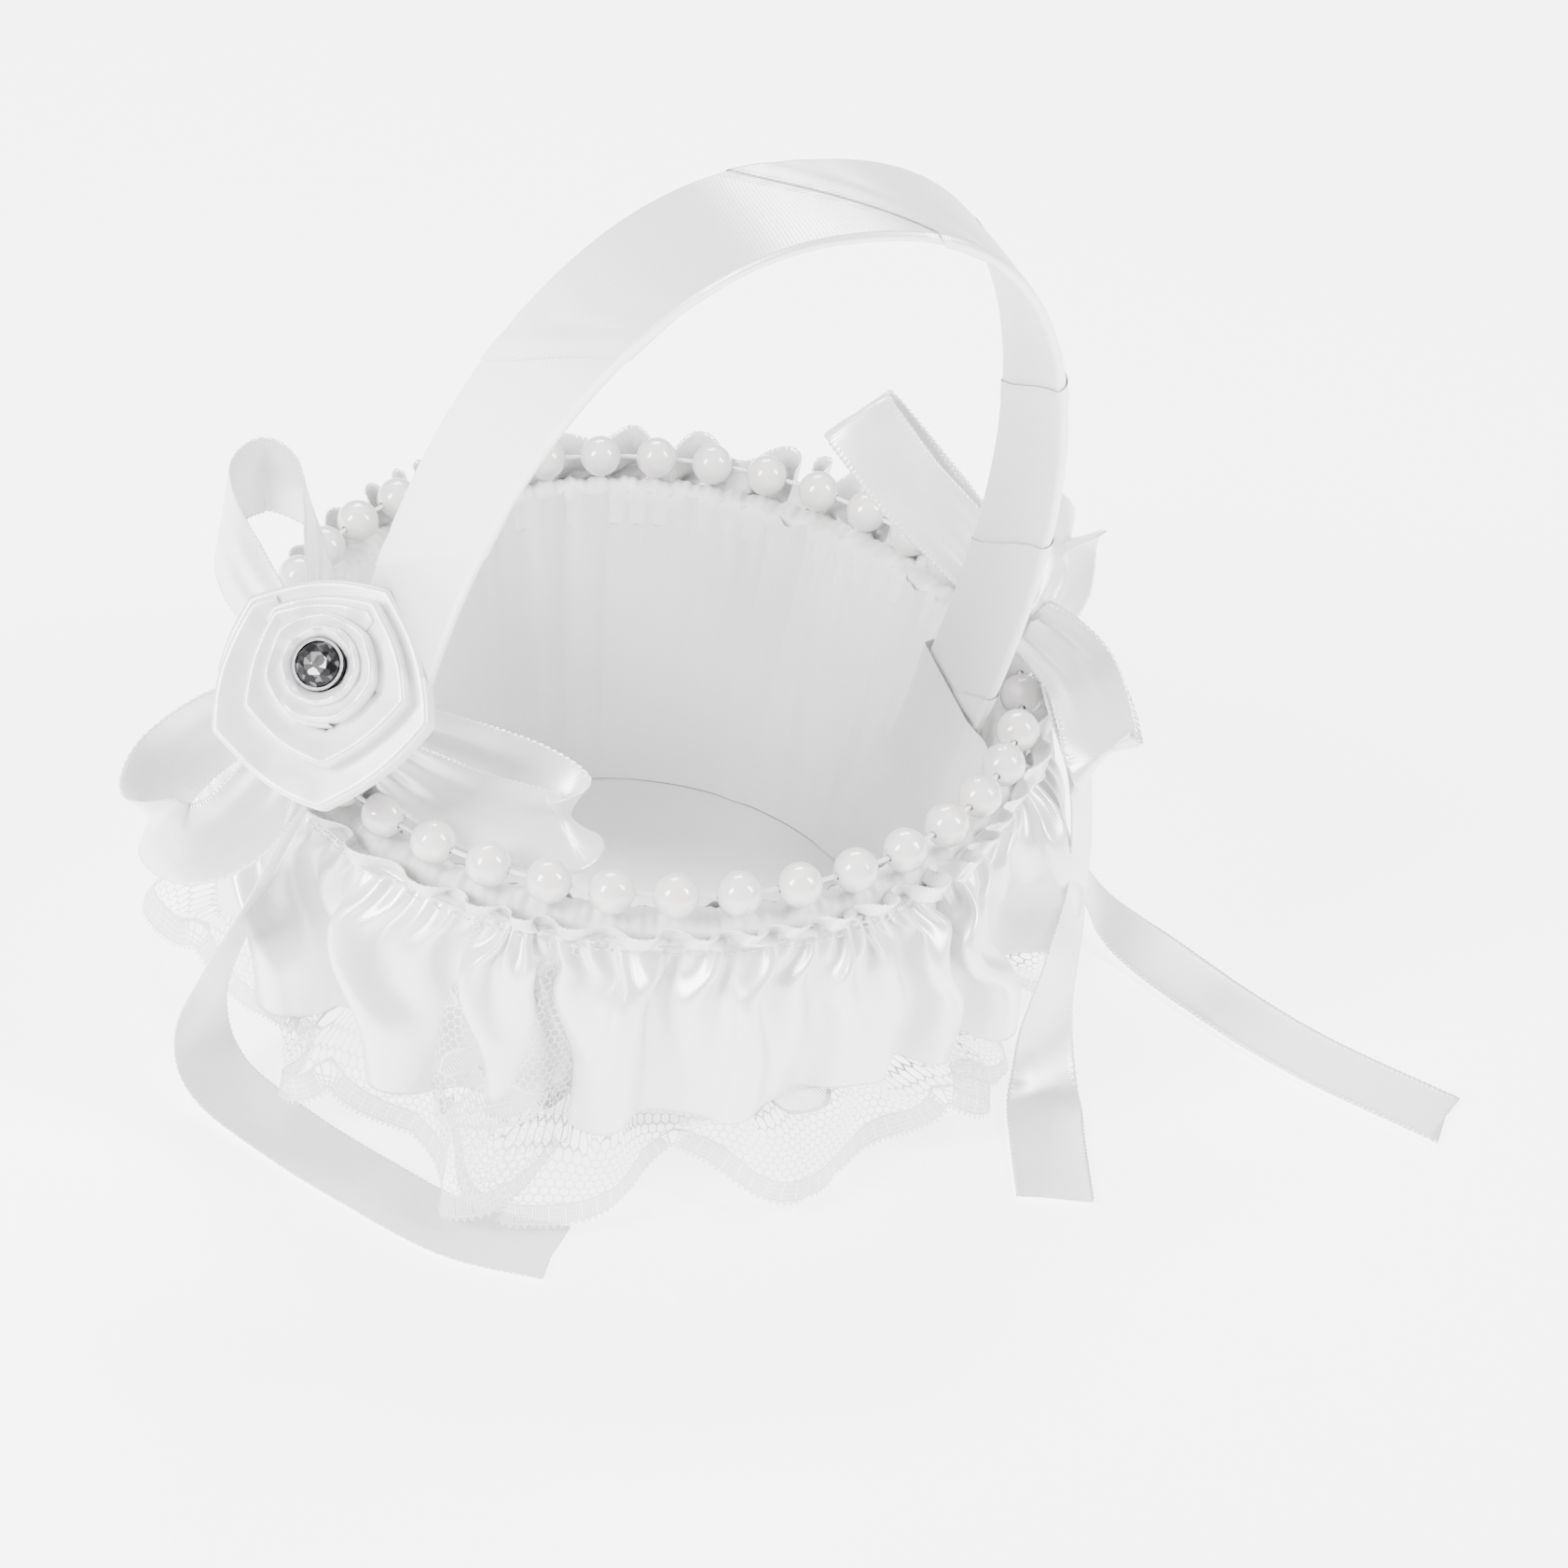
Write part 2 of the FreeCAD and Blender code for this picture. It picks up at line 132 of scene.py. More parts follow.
def ripple(shade, value, pitch):
    """A sine of 0 to 1 that repeats every pitch millimetres."""
    wave = shade.math("SINE", shade.math("MULTIPLY", value, TAU / pitch))
    return shade.math("ADD", shade.math("MULTIPLY", wave, 0.5), 0.5)


def satin(name, colour, roughness, weave, edge_width=None):
    """Satin: long floats across a fine warp, cloudy tone, and a denser selvedge where edge_width is given."""
    shade = Shade(name)
    u, v = uv_parts(shade)
    slant = shade.math("ADD", shade.math("MULTIPLY", u, 0.45), v)
    cloth = shade.math("MULTIPLY", ripple(shade, u, weave), ripple(shade, slant, weave * 0.8))
    cloud = shade.texture(NOISE, 90.0, 3.0)
    height = shade.math("ADD", cloth, shade.math("MULTIPLY", cloud.outputs["Fac"], 0.6))
    if edge_width is not None:
        off_middle = shade.math("ABSOLUTE", shade.math("SUBTRACT", v, 0.5 * edge_width))
        edge = shade.math("GREATER_THAN", off_middle, 0.5 * edge_width - SELVEDGE_WIDE)
        stitch = shade.math("MULTIPLY", ripple(shade, u, SELVEDGE_PITCH), edge)
        height = shade.math("ADD", height, shade.math("MULTIPLY", stitch, 2.5))
    shade.bump(height, 0.35, 0.06 * MM)
    tone = shade.node("ShaderNodeMix", data_type="RGBA")
    tone.inputs["A"].default_value = (*[c * 0.955 for c in colour], 1)
    tone.inputs["B"].default_value = (*colour, 1)
    shade.link(cloth, tone.inputs["Factor"])
    shade.colour_by(tone.outputs["Result"])
    shade.set(Roughness=roughness, Sheen_Weight=0.25, Sheen_Roughness=0.4, Anisotropic=0.45,
              Metallic=0.3, Specular_IOR_Level=0.7)
    return shade.material


def matt_cloth(name, colour, pitch, depth=0.00008, roughness=0.85):
    """Plain woven or felted cloth, from a noise as fine as its threads. pitch is in millimetres."""
    shade = Shade(name)
    grain = shade.texture(NOISE, 1.0 / (pitch * MM), 4.0).outputs["Fac"]
    shade.bump(grain, 0.6, depth)
    shade.colour_by(shade.ramp(grain, [c * 0.9 for c in colour], colour).outputs["Color"])
    shade.set(Roughness=roughness, Sheen_Weight=0.3)
    return shade.material


def pearl_material():
    """Nacre: a milky body, painted shade at its rim, a clear coat, and slow warm and cool drifts of tone."""
    shade = Shade("pearl_nacre")
    # painted shade: the colour greys from face-on towards the pearl's edge as seen from the camera
    facing = shade.node("ShaderNodeLayerWeight")
    facing.inputs["Blend"].default_value = 0.35
    body = shade.ramp(facing.outputs["Facing"], (0.86, 0.85, 0.83), (0.60, 0.60, 0.61))
    tint = shade.node("ShaderNodeMix", data_type="RGBA", blend_type="MULTIPLY")
    tint.inputs["Factor"].default_value = 0.25
    shade.link(body.outputs["Color"], tint.inputs["A"])
    shade.link(shade.texture(NOISE, 160.0, 2.0).outputs["Color"], tint.inputs["B"])
    shade.colour_by(tint.outputs["Result"])
    shade.bump(shade.texture(NOISE, 1800.0).outputs["Fac"], 0.12, 0.04 * MM)
    shade.set(Roughness=0.22, Coat_Weight=0.8, Coat_Roughness=0.06, Specular_IOR_Level=0.7,
              Subsurface_Weight=0.15, Subsurface_Scale=0.002)
    return shade.material


def crystal_material():
    """Foil-backed crystal, painted reflections: dark facets, each its own tone, and bright glints inside."""
    shade = Shade("crystal_painted_reflections")
    # painted reflections: each facet gets a dark tone by its direction, and bright Voronoi cells are painted
    # glints
    snap = shade.node("ShaderNodeVectorMath", operation="SNAP")
    snap.inputs[1].default_value = (0.07, 0.07, 0.07)
    shade.link(shade.node("ShaderNodeNewGeometry").outputs["True Normal"], snap.inputs[0])
    painted_facet_tone = shade.node("ShaderNodeTexWhiteNoise", noise_dimensions="3D")
    shade.link(snap.outputs[0], painted_facet_tone.inputs["Vector"])
    painted_glints = shade.node("ShaderNodeSeparateColor")
    shade.link(shade.texture("ShaderNodeTexVoronoi", 900.0).outputs["Color"], painted_glints.inputs["Color"])
    painted_reflection = shade.math("ADD", shade.math("MULTIPLY", painted_facet_tone.outputs["Value"], 0.25),
                       shade.math("MULTIPLY", painted_glints.outputs["Red"], 0.75))
    ramp = shade.ramp(painted_reflection, (0.005, 0.005, 0.006), (0.75, 0.76, 0.80))
    ramp.color_ramp.interpolation = "CONSTANT"
    ramp.color_ramp.elements[1].position = 0.80
    for position, tone in ((0.46, 0.025), (0.68, 0.12)):
        step = ramp.color_ramp.elements.new(position)
        step.color = (tone, tone, tone * 1.05, 1)
    shade.colour_by(ramp.outputs["Color"])
    shade.set(Metallic=0.0, Roughness=0.3, Specular_IOR_Level=0.15)
    return shade.material


def metal_material():
    """Dark plated metal with fine wear."""
    shade = Shade("cup_plating")
    wear = shade.texture(NOISE, 900.0).outputs["Fac"]
    shade.colour_by(shade.ramp(wear, (0.04, 0.04, 0.045), (0.14, 0.14, 0.15)).outputs["Color"])
    shade.set(Metallic=1.0, Roughness=0.34)
    return shade.material


WHITE = (0.87, 0.87, 0.87)
SATIN = satin("satin_skirt", WHITE, 0.28, 0.5, edge_width=50.0)
LINING = satin("satin_lining", (0.85, 0.85, 0.85), 0.42, 0.6)
WRAP = satin("satin_wrap", WHITE, 0.36, 0.5, edge_width=38.0)
RIBBON = satin("satin_ribbon", WHITE, 0.32, 0.45, edge_width=15.0)
ROSE = satin("satin_rose", (0.86, 0.86, 0.86), 0.38, 0.45)
COVER = satin("satin_cover", (0.84, 0.84, 0.84), 0.45, 0.6)
TAPE = matt_cloth("tape_weave", (0.84, 0.84, 0.83), 0.35)
FELT = matt_cloth("felt_fibre", (0.82, 0.82, 0.80), 0.5, 0.0002, 0.95)
LACE = matt_cloth("lace_thread", (0.86, 0.86, 0.85), 0.2, 0.00003, 0.6)
THREAD = matt_cloth("sewing_thread", (0.85, 0.85, 0.84), 0.15, 0.00005, 0.55)
BOARD = matt_cloth("grey_board", (0.62, 0.60, 0.57), 0.8, 0.0001, 0.9)
PLASTIC = matt_cloth("hoop_plastic", (0.80, 0.80, 0.79), 1.2, 0.00003, 0.5)
PEARL = pearl_material()
CRYSTAL = crystal_material()
METAL = metal_material()


# ---- mesh building
def placed(name, data):
    """An object for some data, linked into the scene."""
    made = bpy.data.objects.new(name, data)
    bpy.context.scene.collection.objects.link(made)
    return made


def finish_piece(name, mesh, material, replaced=(), smooth=True):
    """Put a mesh in the scene as a piece that rides on the basket."""
    mesh.validate()
    piece = placed(name, mesh)
    mesh.materials.append(material)
    if smooth:
        mesh.polygons.foreach_set("use_smooth", [True] * len(mesh.polygons))
    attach(piece, "root")
    if replaced:
        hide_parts(*replaced)
    return piece


def grid(name, points, uv, material, replaced=(), closed=False, thickness=None, keep=None):
    """A smooth sheet from a grid of points, rows by columns, with its map in millimetres of flat cloth."""
    rows, cols, _ = points.shape
    index = np.arange(rows * cols).reshape(rows, cols)
    right = np.roll(index, -1, axis=1) if closed else index[:, 1:]
    here = index if closed else index[:, :-1]
    quads = np.stack([here[:-1], right[:-1], right[1:], here[1:]], axis=-1)
    quads = quads[keep] if keep is not None else quads.reshape(-1, 4)
    mesh = bpy.data.meshes.new(name)
    used, inverse = np.unique(quads, return_inverse=True)
    compact = inverse.reshape(quads.shape)
    mesh.from_pydata(points.reshape(-1, 3)[used].tolist(), [], compact.tolist())
    layer = mesh.uv_layers.new(name="flat")
    flat = np.asarray(uv, float)
    step_u = flat[0, 1, 0] - flat[0, 0, 0]
    corner_uv = flat.reshape(-1, 2)[quads]
    if closed:
        last = quads[:, 1] % cols == 0
        corner_uv[last, 1, 0] = corner_uv[last, 0, 0] + step_u
        corner_uv[last, 2, 0] = corner_uv[last, 3, 0] + step_u
    layer.data.foreach_set("uv", corner_uv.reshape(-1))
    piece = finish_piece(name, mesh, material, replaced)
    if thickness:
        thick = piece.modifiers.new("cloth thickness", "SOLIDIFY")
        thick.thickness = thickness
        thick.offset = 0.0
    return piece


def noise(angle, seed, terms=6, lowest=1):
    """A smooth periodic wander of about -1 to 1 round the basket."""
    random = np.random.default_rng(seed)
    total = np.zeros_like(angle)
    weight = 0.0
    for k in range(lowest, lowest + terms):
        size = 1.0 / math.sqrt(k)
        total = total + size * np.cos(k * angle + random.uniform(0, TAU))
        weight += size * size
    return total / math.sqrt(weight) / 1.4


def unit(v):
    v = np.asarray(v, float)
    return v / np.maximum(np.linalg.norm(v, axis=-1, keepdims=True), 1e-12)


def around(radius, angle, z):
    """Points at a radius, an angle round the basket and a height."""
    return np.stack([radius * np.cos(angle), radius * np.sin(angle), z], axis=-1)


def ring_grid(cols, down):
    """The angle round the basket, and the place down the cloth, of every point of a closed sheet."""
    return np.meshgrid(np.linspace(0, TAU, cols, endpoint=False), down)


def flat_map(u, v):
    """A piece's map, from its place along and across the flat cloth."""
    return np.stack(np.broadcast_arrays(u, v), axis=-1)


def running_length(points):
    """How far along a line each of its points is."""
    return np.concatenate([[0], np.cumsum(np.linalg.norm(np.diff(points, axis=0), axis=1))])


def read_between(at, run, values):
    """The rows of values at some places along a line, where run is the place of each row."""
    return np.stack([np.interp(at, run, column) for column in values.T], axis=1)


def square_to(tangent, direction):
    """What is left of a direction when its part along the tangent is taken away, at length 1."""
    return unit(direction - tangent * (direction * tangent).sum(axis=1, keepdims=True))


def middle_of(node):
    """The middle and the size of a CAD part's box."""
    low, high = (np.array(v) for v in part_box(node))
    return (low + high) / 2, high - low


def spline(points, count):
    """Points and tangents along a smooth curve through the given ones, by Catmull-Rom, evenly spaced."""
    p = np.asarray(points, float)
    p = np.vstack([2 * p[0] - p[1], p, 2 * p[-1] - p[-2]])
    fine = []
    for i in range(1, len(p) - 2):
        t = np.linspace(0, 1, 40, endpoint=False)[:, None]
        a, b, c, d = p[i - 1], p[i], p[i + 1], p[i + 2]
        fine.append(0.5 * (2 * b + (c - a) * t + (2 * a - 5 * b + 4 * c - d) * t ** 2
                           + (3 * b - a - 3 * c + d) * t ** 3))
    fine = np.vstack(fine + [p[-2][None]])
    along = running_length(fine)
    line = read_between(np.linspace(0, along[-1], count), along, fine)
    return line, unit(np.gradient(line, axis=0)), along[-1]


# ---- lining, floor and cover
def wall_radius(z):
    """Outer radius of the tub wall at a height."""
    return BASE_RADIUS + (TOP_RADIUS - BASE_RADIUS) * z / TUB_TOP


HOOP_LEAN = math.radians(23.6)
HOOP_OFFSET = 16 * MM
LEG_HALF_WIDTH = 12.4 * MM
LEG_FACES = ((0.0, 56.1 * MM), (math.pi + 0.263, 58.1 * MM))
LEG_RIM_Z = 72 * MM


def angle_gap(angle, centre):
    return (angle - centre + math.pi) % TAU - math.pi


def fade_out(distance, start, end):
    """1 up to start, 0 from end on, smooth between."""
    share = np.clip((end - distance) / (end - start), 0, 1)
    return share * share * (3 - 2 * share)


def lining_wall():
    """Satin on the inside wall: pleats pulled from the rim, and a pocket over each leg of the handle.

    LEG_FACES gives the direction each leg's inner face looks away from, and how far out that face stands.
    """
    cols, rows = 900, 60
    a, t = ring_grid(cols, np.linspace(0, 1, rows))
    top, foot = TUB_TOP + 1.2 * MM, 4.4 * MM
    z = top * (1 - t) + foot * t
    inset = 3.0 * MM + 1.2 * MM * np.sin(math.pi * t)
    pleats = 88
    puckers = np.cos(pleats * a + 3 * noise(a, 3, 9)) * 0.55 * MM * np.exp(-t / 0.16)
    pulls = np.clip(noise(a, 5, 40, 8) - 0.25, 0, None) * 2.6 * MM * np.exp(-t / 0.45)
    creases = np.clip(noise(a + 0.12 * t, 9, 26, 5) - 0.1, 0, None) * 1.1 * MM * np.sin(math.pi * t) ** 0.7
    smooth = wall_radius(z) - inset
    r = smooth - puckers - pulls - creases
    lift = np.zeros_like(r)
    leg_y = -HOOP_OFFSET + (LEG_RIM_Z - z) * math.tan(HOOP_LEAN)
    narrowest = 0.3
    for facing, out in LEG_FACES:
        gap = angle_gap(a, facing)
        flat = out / np.maximum(np.cos(gap), narrowest)
        beside = np.abs(np.minimum(flat, smooth) * np.sin(a) - leg_y)
        pocket = fade_out(beside, LEG_HALF_WIDTH + 0.2 * MM, LEG_HALF_WIDTH + 8 * MM)
        pocket = pocket * (np.cos(gap) > narrowest)
        pocket = pocket * fade_out(t, 0.42, 0.72)
        tucks = 0.25 * MM * np.cos(beside / MM * 1.9) * np.exp(-t / 0.3)
        r = r * (1 - pocket) + (np.minimum(smooth, flat) - np.abs(tucks)) * pocket
        lift = lift + 4.0 * MM * pocket * np.exp(-t / 0.10)
    uv = flat_map(a * 66.0, t * 62.0)
    piece = grid("lining_wall_satin", around(r, a, z + lift), uv, LINING,
                 ["wall_lining"], closed=True)


def lining_floor():
    """The padded satin floor: slack folds that run out from under the wall lining."""
    rings, cols = 46, 240
    cap = 51.6 * MM
    a, r = ring_grid(cols, np.linspace(0.4 * MM, cap, rings))
    x, y = r * np.cos(a), r * np.sin(a)
    edge = r / cap
    swell = 1.6 * MM * (1 - edge ** 4)
    slack = 0.7 * MM * np.cos(x / (9 * MM) + 1.3 * np.sin(y / (14 * MM))) * np.sin(math.pi * edge)
    rays = 0.5 * MM * noise(a, 21, 22, 6) * edge ** 2 * (1 - edge ** 8)
    z = 4.2 * MM + swell + slack * 0.5 + rays
    points = np.stack([x, y, z], axis=-1)
    piece = grid("lining_floor_satin", points, flat_map(x / MM, y / MM), LINING,
                 ["floor_lining"], closed=True)


def outer_cover():
    """Satin stretched down the outside of the tub, with light vertical strain lines."""
    cols, rows = 360, 30
    a, t = ring_grid(cols, np.linspace(0, 1, rows))
    top, foot = TUB_TOP - 0.5 * MM, 0.4 * MM
    z = top * (1 - t) + foot * t
    strain = 0.25 * MM * noise(a, 31, 30, 10) * (0.3 + 0.7 * np.sin(math.pi * t))
    r = wall_radius(z) + 0.7 * MM + strain
    uv = flat_map(a * 62.0, t * 67.0)
    piece = grid("cover_satin", around(r, a, z), uv, COVER, ["outer_cover"], closed=True)


def rim_tape():
    """Woven tape folded over the rim, puckered by the stitches that hold the pearls."""
    cols = 1170
    profile = np.array([(-4.0, -5.5), (-3.1, -2.5), (-2.5, 0.4), (-1.2, 1.5), (0.6, 1.8), (2.6, 1.4),
                        (3.9, -0.4), (4.2, -5.0)]) * MM
    t = np.linspace(0, 1, 20)
    line, _, length = spline(np.column_stack([profile, np.zeros(len(profile))]), len(t))
    a, _ = ring_grid(cols, t)
    stitches, creases = 78, 195
    pucker = 0.35 * MM * np.cos(stitches * a) + 0.2 * MM * np.cos(creases * a + 4 * noise(a, 41))
    lift = np.sin(math.pi * t)[:, None]
    r = TOP_RADIUS - 1.0 * MM + line[:, 0][:, None] + 0.3 * pucker
    z = TUB_TOP + line[:, 1][:, None] + lift * pucker
    uv = flat_map(a * 70.0, t[:, None] * length / MM)
    piece = grid("rim_tape_cloth", around(r, a, z), uv, TAPE, ["rim_tape"], closed=True)


# ---- gathered cloth
GATHER_Z = TUB_TOP - 2.5 * MM
GATHER_RADIUS = TOP_RADIUS + 3.4 * MM
STEEPEST_FOLD = 2.1


def gathered(flat_length, radii, waves, weights, seed, cols, span=TAU, lowest=9):
    """Folds of a cloth of one flat length, gathered onto rings of the given radii.

    Each row is a meander whose slope is a mix of waves (folds round the ring, wander, drift down the cloth);
    weights gives each wave's share in each row. The slope is scaled until the row takes up the length of
    the flat cloth. Returns the angle round the ring and the distance in or out, rows by columns.
    """
    random = np.random.default_rng(seed)
    place = np.arange(cols) / cols
    turn = TAU * place
    phases, sizes = [], []
    for folds, wander, drift in waves:
        phase = folds * turn + wander * noise(turn, int(random.integers(1000)), 9)
        slide = drift * noise(turn, int(random.integers(1000)), 7)
        phases.append((phase, slide))
        sizes.append(1 + 0.5 * noise(turn, int(random.integers(1000)), 14, 3))
    angles, depths = [], []
    for row, radius in enumerate(radii):
        down = row / (len(radii) - 1)
        shape = np.zeros(cols)
        for (phase, slide), size, weight in zip(phases, sizes, weights):
            shape += weight[row] * size * np.sin(phase + slide * down)
        need = min(span * radius / flat_length, 0.995)
        low, high = 0.0, 4.0
        for _ in range(30):
            middle = 0.5 * (low + high)
            if np.cos(np.clip(middle * shape, -STEEPEST_FOLD, STEEPEST_FOLD)).mean() > need:
                low = middle
            else:
                high = middle
        slope = np.clip(low * shape, -STEEPEST_FOLD, STEEPEST_FOLD)
        step = flat_length / cols
        along = np.concatenate([[0], np.cumsum(np.cos(slope))[:-1]])
        along = along / (along[-1] + math.cos(slope[-1])) * span
        out = np.cumsum(np.sin(slope)) * step
        waves_of_out = np.fft.rfft(out)
        waves_of_out[:lowest] = 0
        angles.append(along)
        depths.append(np.fft.irfft(waves_of_out, cols))
    return np.array(angles), np.array(depths)


INSIDE = {}
INSIDE_COLS, INSIDE_ROWS = 360, 60


def inside_cell(points):
    """Row and column of each point, by height and angle, and its radius."""
    turn = np.arctan2(points[..., 1], points[..., 0]) % TAU
    col = (turn / TAU * INSIDE_COLS).astype(int) % INSIDE_COLS
    row = np.clip(points[..., 2] / TUB_TOP * INSIDE_ROWS, 0, INSIDE_ROWS - 1).astype(int)
    return row, col, np.hypot(points[..., 0], points[..., 1])


def note_inside(points):
    """Keep the smallest radius of the satin for each angle and height, so that the lace stays under it."""
    row, col, radius = inside_cell(points)
    least = np.full((INSIDE_ROWS, INSIDE_COLS), 1.0)
    np.minimum.at(least, (row, col), radius)
    beside = [np.roll(np.roll(least, i, axis=0), j, axis=1) for i in (-1, 0, 1) for j in (-2, -1, 0, 1, 2)]
    INSIDE["radius"] = np.min(beside, axis=0)


def kept_inside(points, slack):
    """Draw points in towards the axis until they lie under the satin."""
    row, col, radius = inside_cell(points)
    limit = INSIDE["radius"][row, col] - slack
    share = np.minimum(1.0, limit / radius)
    for _ in range(6):
        beside = sum(np.roll(share, step, axis=axis) for axis in (0, 1) for step in (1, -1))
        share = (beside + 2 * share) / 6
        share = np.minimum(share, np.minimum(1.0, limit / radius))
    out = points.copy()
    out[..., :2] *= share[..., None]
    return out


# ---- satin ruffle
RUFFLE_FLAT = 0.770
HEADER_FLAT, SKIRT_FLAT = 6.0, 44.0  # of its width, in millimetres


def satin_ruffle():
    """Wide satin ribbon gathered below its top edge, in folds that join and deepen towards the hem."""
    cols, rows, head_rows = 1750, 64, 12
    down = np.concatenate([np.linspace(-1, 0, head_rows, endpoint=False),
                           np.linspace(0, 1, rows - head_rows)])
    skirt = np.clip(down, 0, 1)
    head = np.clip(-down, 0, 1)
    shoulder = np.sin(0.5 * math.pi * np.clip(skirt * 2.2, 0, 1))
    radii = GATHER_RADIUS + 6.2 * MM * shoulder - 1.0 * MM * skirt ** 3
    radii = radii + 1.6 * MM * head
    tight = np.exp(-(down / 0.16) ** 2)
    waves = [(22, 3.4, 1.8), (47, 4.0, 2.4), (118, 6.0, 1.5)]
    joining = 0.25 + 0.55 * np.exp(-((skirt - 0.28) / 0.25) ** 2) * (skirt > 0) + 0.75 * head
    weights = [0.10 + 0.9 * skirt ** 0.55, joining, 1.25 * tight + 0.04]
    a, out = gathered(RUFFLE_FLAT, radii, waves, weights, 21, cols)
    r = radii[:, None] + out * 0.92
    k = skirt[:, None]
    h = head[:, None]
    drop = 40.0 * MM + 2.0 * MM * noise(a, 16, 5)
    front = np.exp(-(angle_gap(a, math.radians(262)) / 0.75) ** 2)
    back = 0.5 - 0.5 * np.cos(a - math.radians(250))
    z = GATHER_Z - drop * k ** 1.04 + h * (4.8 * MM + 7.0 * MM * back ** 2)
    z = z + 0.16 * out * k + 0.35 * out * h
    r = r + h * (1 - back) * 1.6 * MM + (1.5 - 5.5 * front) * MM * k
    r = np.maximum(r, TOP_RADIUS + 1.4 * MM - 9 * MM * k)
    sway = 0.045 * noise(a, 18, 8) * k ** 1.5
    points = around(r, a + sway, z)
    note_inside(points[head_rows:])
    saw = 0.16 * MM * (np.arange(cols) % 3 == 0)
    points[-1, :, 2] -= saw
    points[0, :, 2] += saw
    flat_v = np.where(down < 0, (1 + down) * HEADER_FLAT, HEADER_FLAT + skirt * SKIRT_FLAT)
    run = np.arange(cols) * RUFFLE_FLAT / MM / cols
    uv = flat_map(run[None, :], flat_v[:, None])
    piece = grid("satin_ruffle_cloth", points, uv, SATIN, ["satin_ruffle"],
                 closed=True, thickness=0.22 * MM)


def gather_stitches():
    """The two rows of small stitches that gather the ruffle, as short raised threads."""
    verts, faces = [], []
    count, sides, rings = 230, 5, 5
    radius = 0.22 * MM
    step = 0.62 * TAU / count
    for row, drop in enumerate((0.0, 1.6 * MM)):
        for i in range(count):
            a = TAU * (i + 0.5 * row) / count
            r = GATHER_RADIUS + 1.2 * MM + 0.3 * MM * math.cos(5 * a)
            base = len(verts)
            for j in range(rings):
                u = j / (rings - 1)
                bulge = 0.35 * MM * math.sin(math.pi * u)
                angle = a + step * (u - 0.5)
                for k in range(sides):
                    w = TAU * k / sides
                    out = r + bulge + radius * math.cos(w)
                    verts.append((out * math.cos(angle), out * math.sin(angle),
                                  GATHER_Z + 0.4 * MM - drop + radius * math.sin(w)))
            for j in range(rings - 1):
                for k in range(sides):
                    b, c = base + sides * j, base + sides * (j + 1)
                    faces.append((b + k, c + k, c + (k + 1) % sides, b + (k + 1) % sides))
            faces.append(tuple(base + k for k in range(sides)))
            faces.append(tuple(base + sides * rings - 1 - k for k in range(sides)))
    mesh = bpy.data.meshes.new("gather_stitches")
    mesh.from_pydata(verts, [], faces)
    finish_piece("gather_stitches", mesh, THREAD, ["gather_thread"])


# ---- lace
LACE_START = math.radians(226)
LACE_LAP = 0.36
LACE_FLAT = 0.74
LACE_DROP = 0.062
SCALLOPS = 11

# the lace is drawn flat, in millimetres
LACE_LONG, LACE_DEEP = LACE_FLAT / MM, LACE_DROP / MM
SCALLOP_PITCH = LACE_LONG / SCALLOPS
NET_CELL, NET_THREAD = 1.75, 0.26
CORD_THREAD, FILL_THREAD, FILL_PITCH = 0.62, 0.34, 0.62
BORDER_IN, BORDER_OUT = 4.2, 0.5
BLOCK_LONG, BLOCK_GAP = 3.1, 0.55
PICOT_PITCH, PICOT_HALF = 1.3, 0.43
LACE_GRID = []


def drape_lace():
    """Work out the draped lace once, as a fine grid of points that lace_surface reads between."""
    cols, rows = 1500, 48
    v = np.linspace(0, 1, rows)
    radii = GATHER_RADIUS - 1.9 * MM + 9.5 * MM * v ** 2
    waves = [(14, 2.2, 1.0), (37, 3.0, 1.5), (96, 4.0, 1.5)]
    weights = [v ** 2.2, 0.8 * np.exp(-((v - 0.5) / 0.25) ** 2) + 0.05, np.exp(-(v / 0.33) ** 2) + 0.02]
    a, out = gathered(LACE_FLAT, radii, waves, weights, 33, cols, span=TAU + LACE_LAP, lowest=6)
    s = np.arange(cols)[None, :] / cols
    world = LACE_START + a
    v = v[:, None]
    left = math.radians(161)
    front_left = math.radians(205)
    flare = 13 * MM * np.exp(-(angle_gap(world, left) / 0.50) ** 2)
    flare = flare - 4 * MM * np.exp(-(angle_gap(world, front_left) / 0.3) ** 2)
    r = radii[:, None] + out * 0.8 + flare * v
    r = r + (2.0 * MM + 7.0 * MM * v) * np.clip((s - 0.935) / 0.03, 0, 1)
    fall = (GATHER_Z - 4.6 * MM) * v
    z = GATHER_Z - 1.0 * MM - fall - 0.06 * out * v
    z = z + 0.3 * flare * v ** 2
    drape = around(r, world, z)
    outer_end = s[0] > 0.93
    under = kept_inside(drape, 0.9 * MM)
    under[:, outer_end] = drape[:, outer_end]
    LACE_GRID.append(under)


def lace_surface(s, v):
    """The point on the draped lace for a place on the flat strip: s along it and v down it, from 0 to 1."""
    drape = LACE_GRID[0]
    rows, cols, _ = drape.shape
    y = np.clip(v, 0, 1.05) * (rows - 1)
    x = np.clip(s, 0, 1) * (cols - 1)
    j = np.clip(y.astype(int), 0, rows - 2)
    i = np.clip(x.astype(int), 0, cols - 2)
    fy, fx = (y - j)[..., None], (x - i)[..., None]
    top = drape[j, i] * (1 - fx) + drape[j, i + 1] * fx
    low = drape[j + 1, i] * (1 - fx) + drape[j + 1, i + 1] * fx
    return top * (1 - fy) + low * fy


def scallop_edge(x):
    """Depth of the scalloped hem, from 0 to 1 of the lace's width, at a place in millimetres along it."""
    return 1.0 - 0.17 * (1 - np.abs(np.sin(math.pi * x / SCALLOP_PITCH)) ** 0.8)


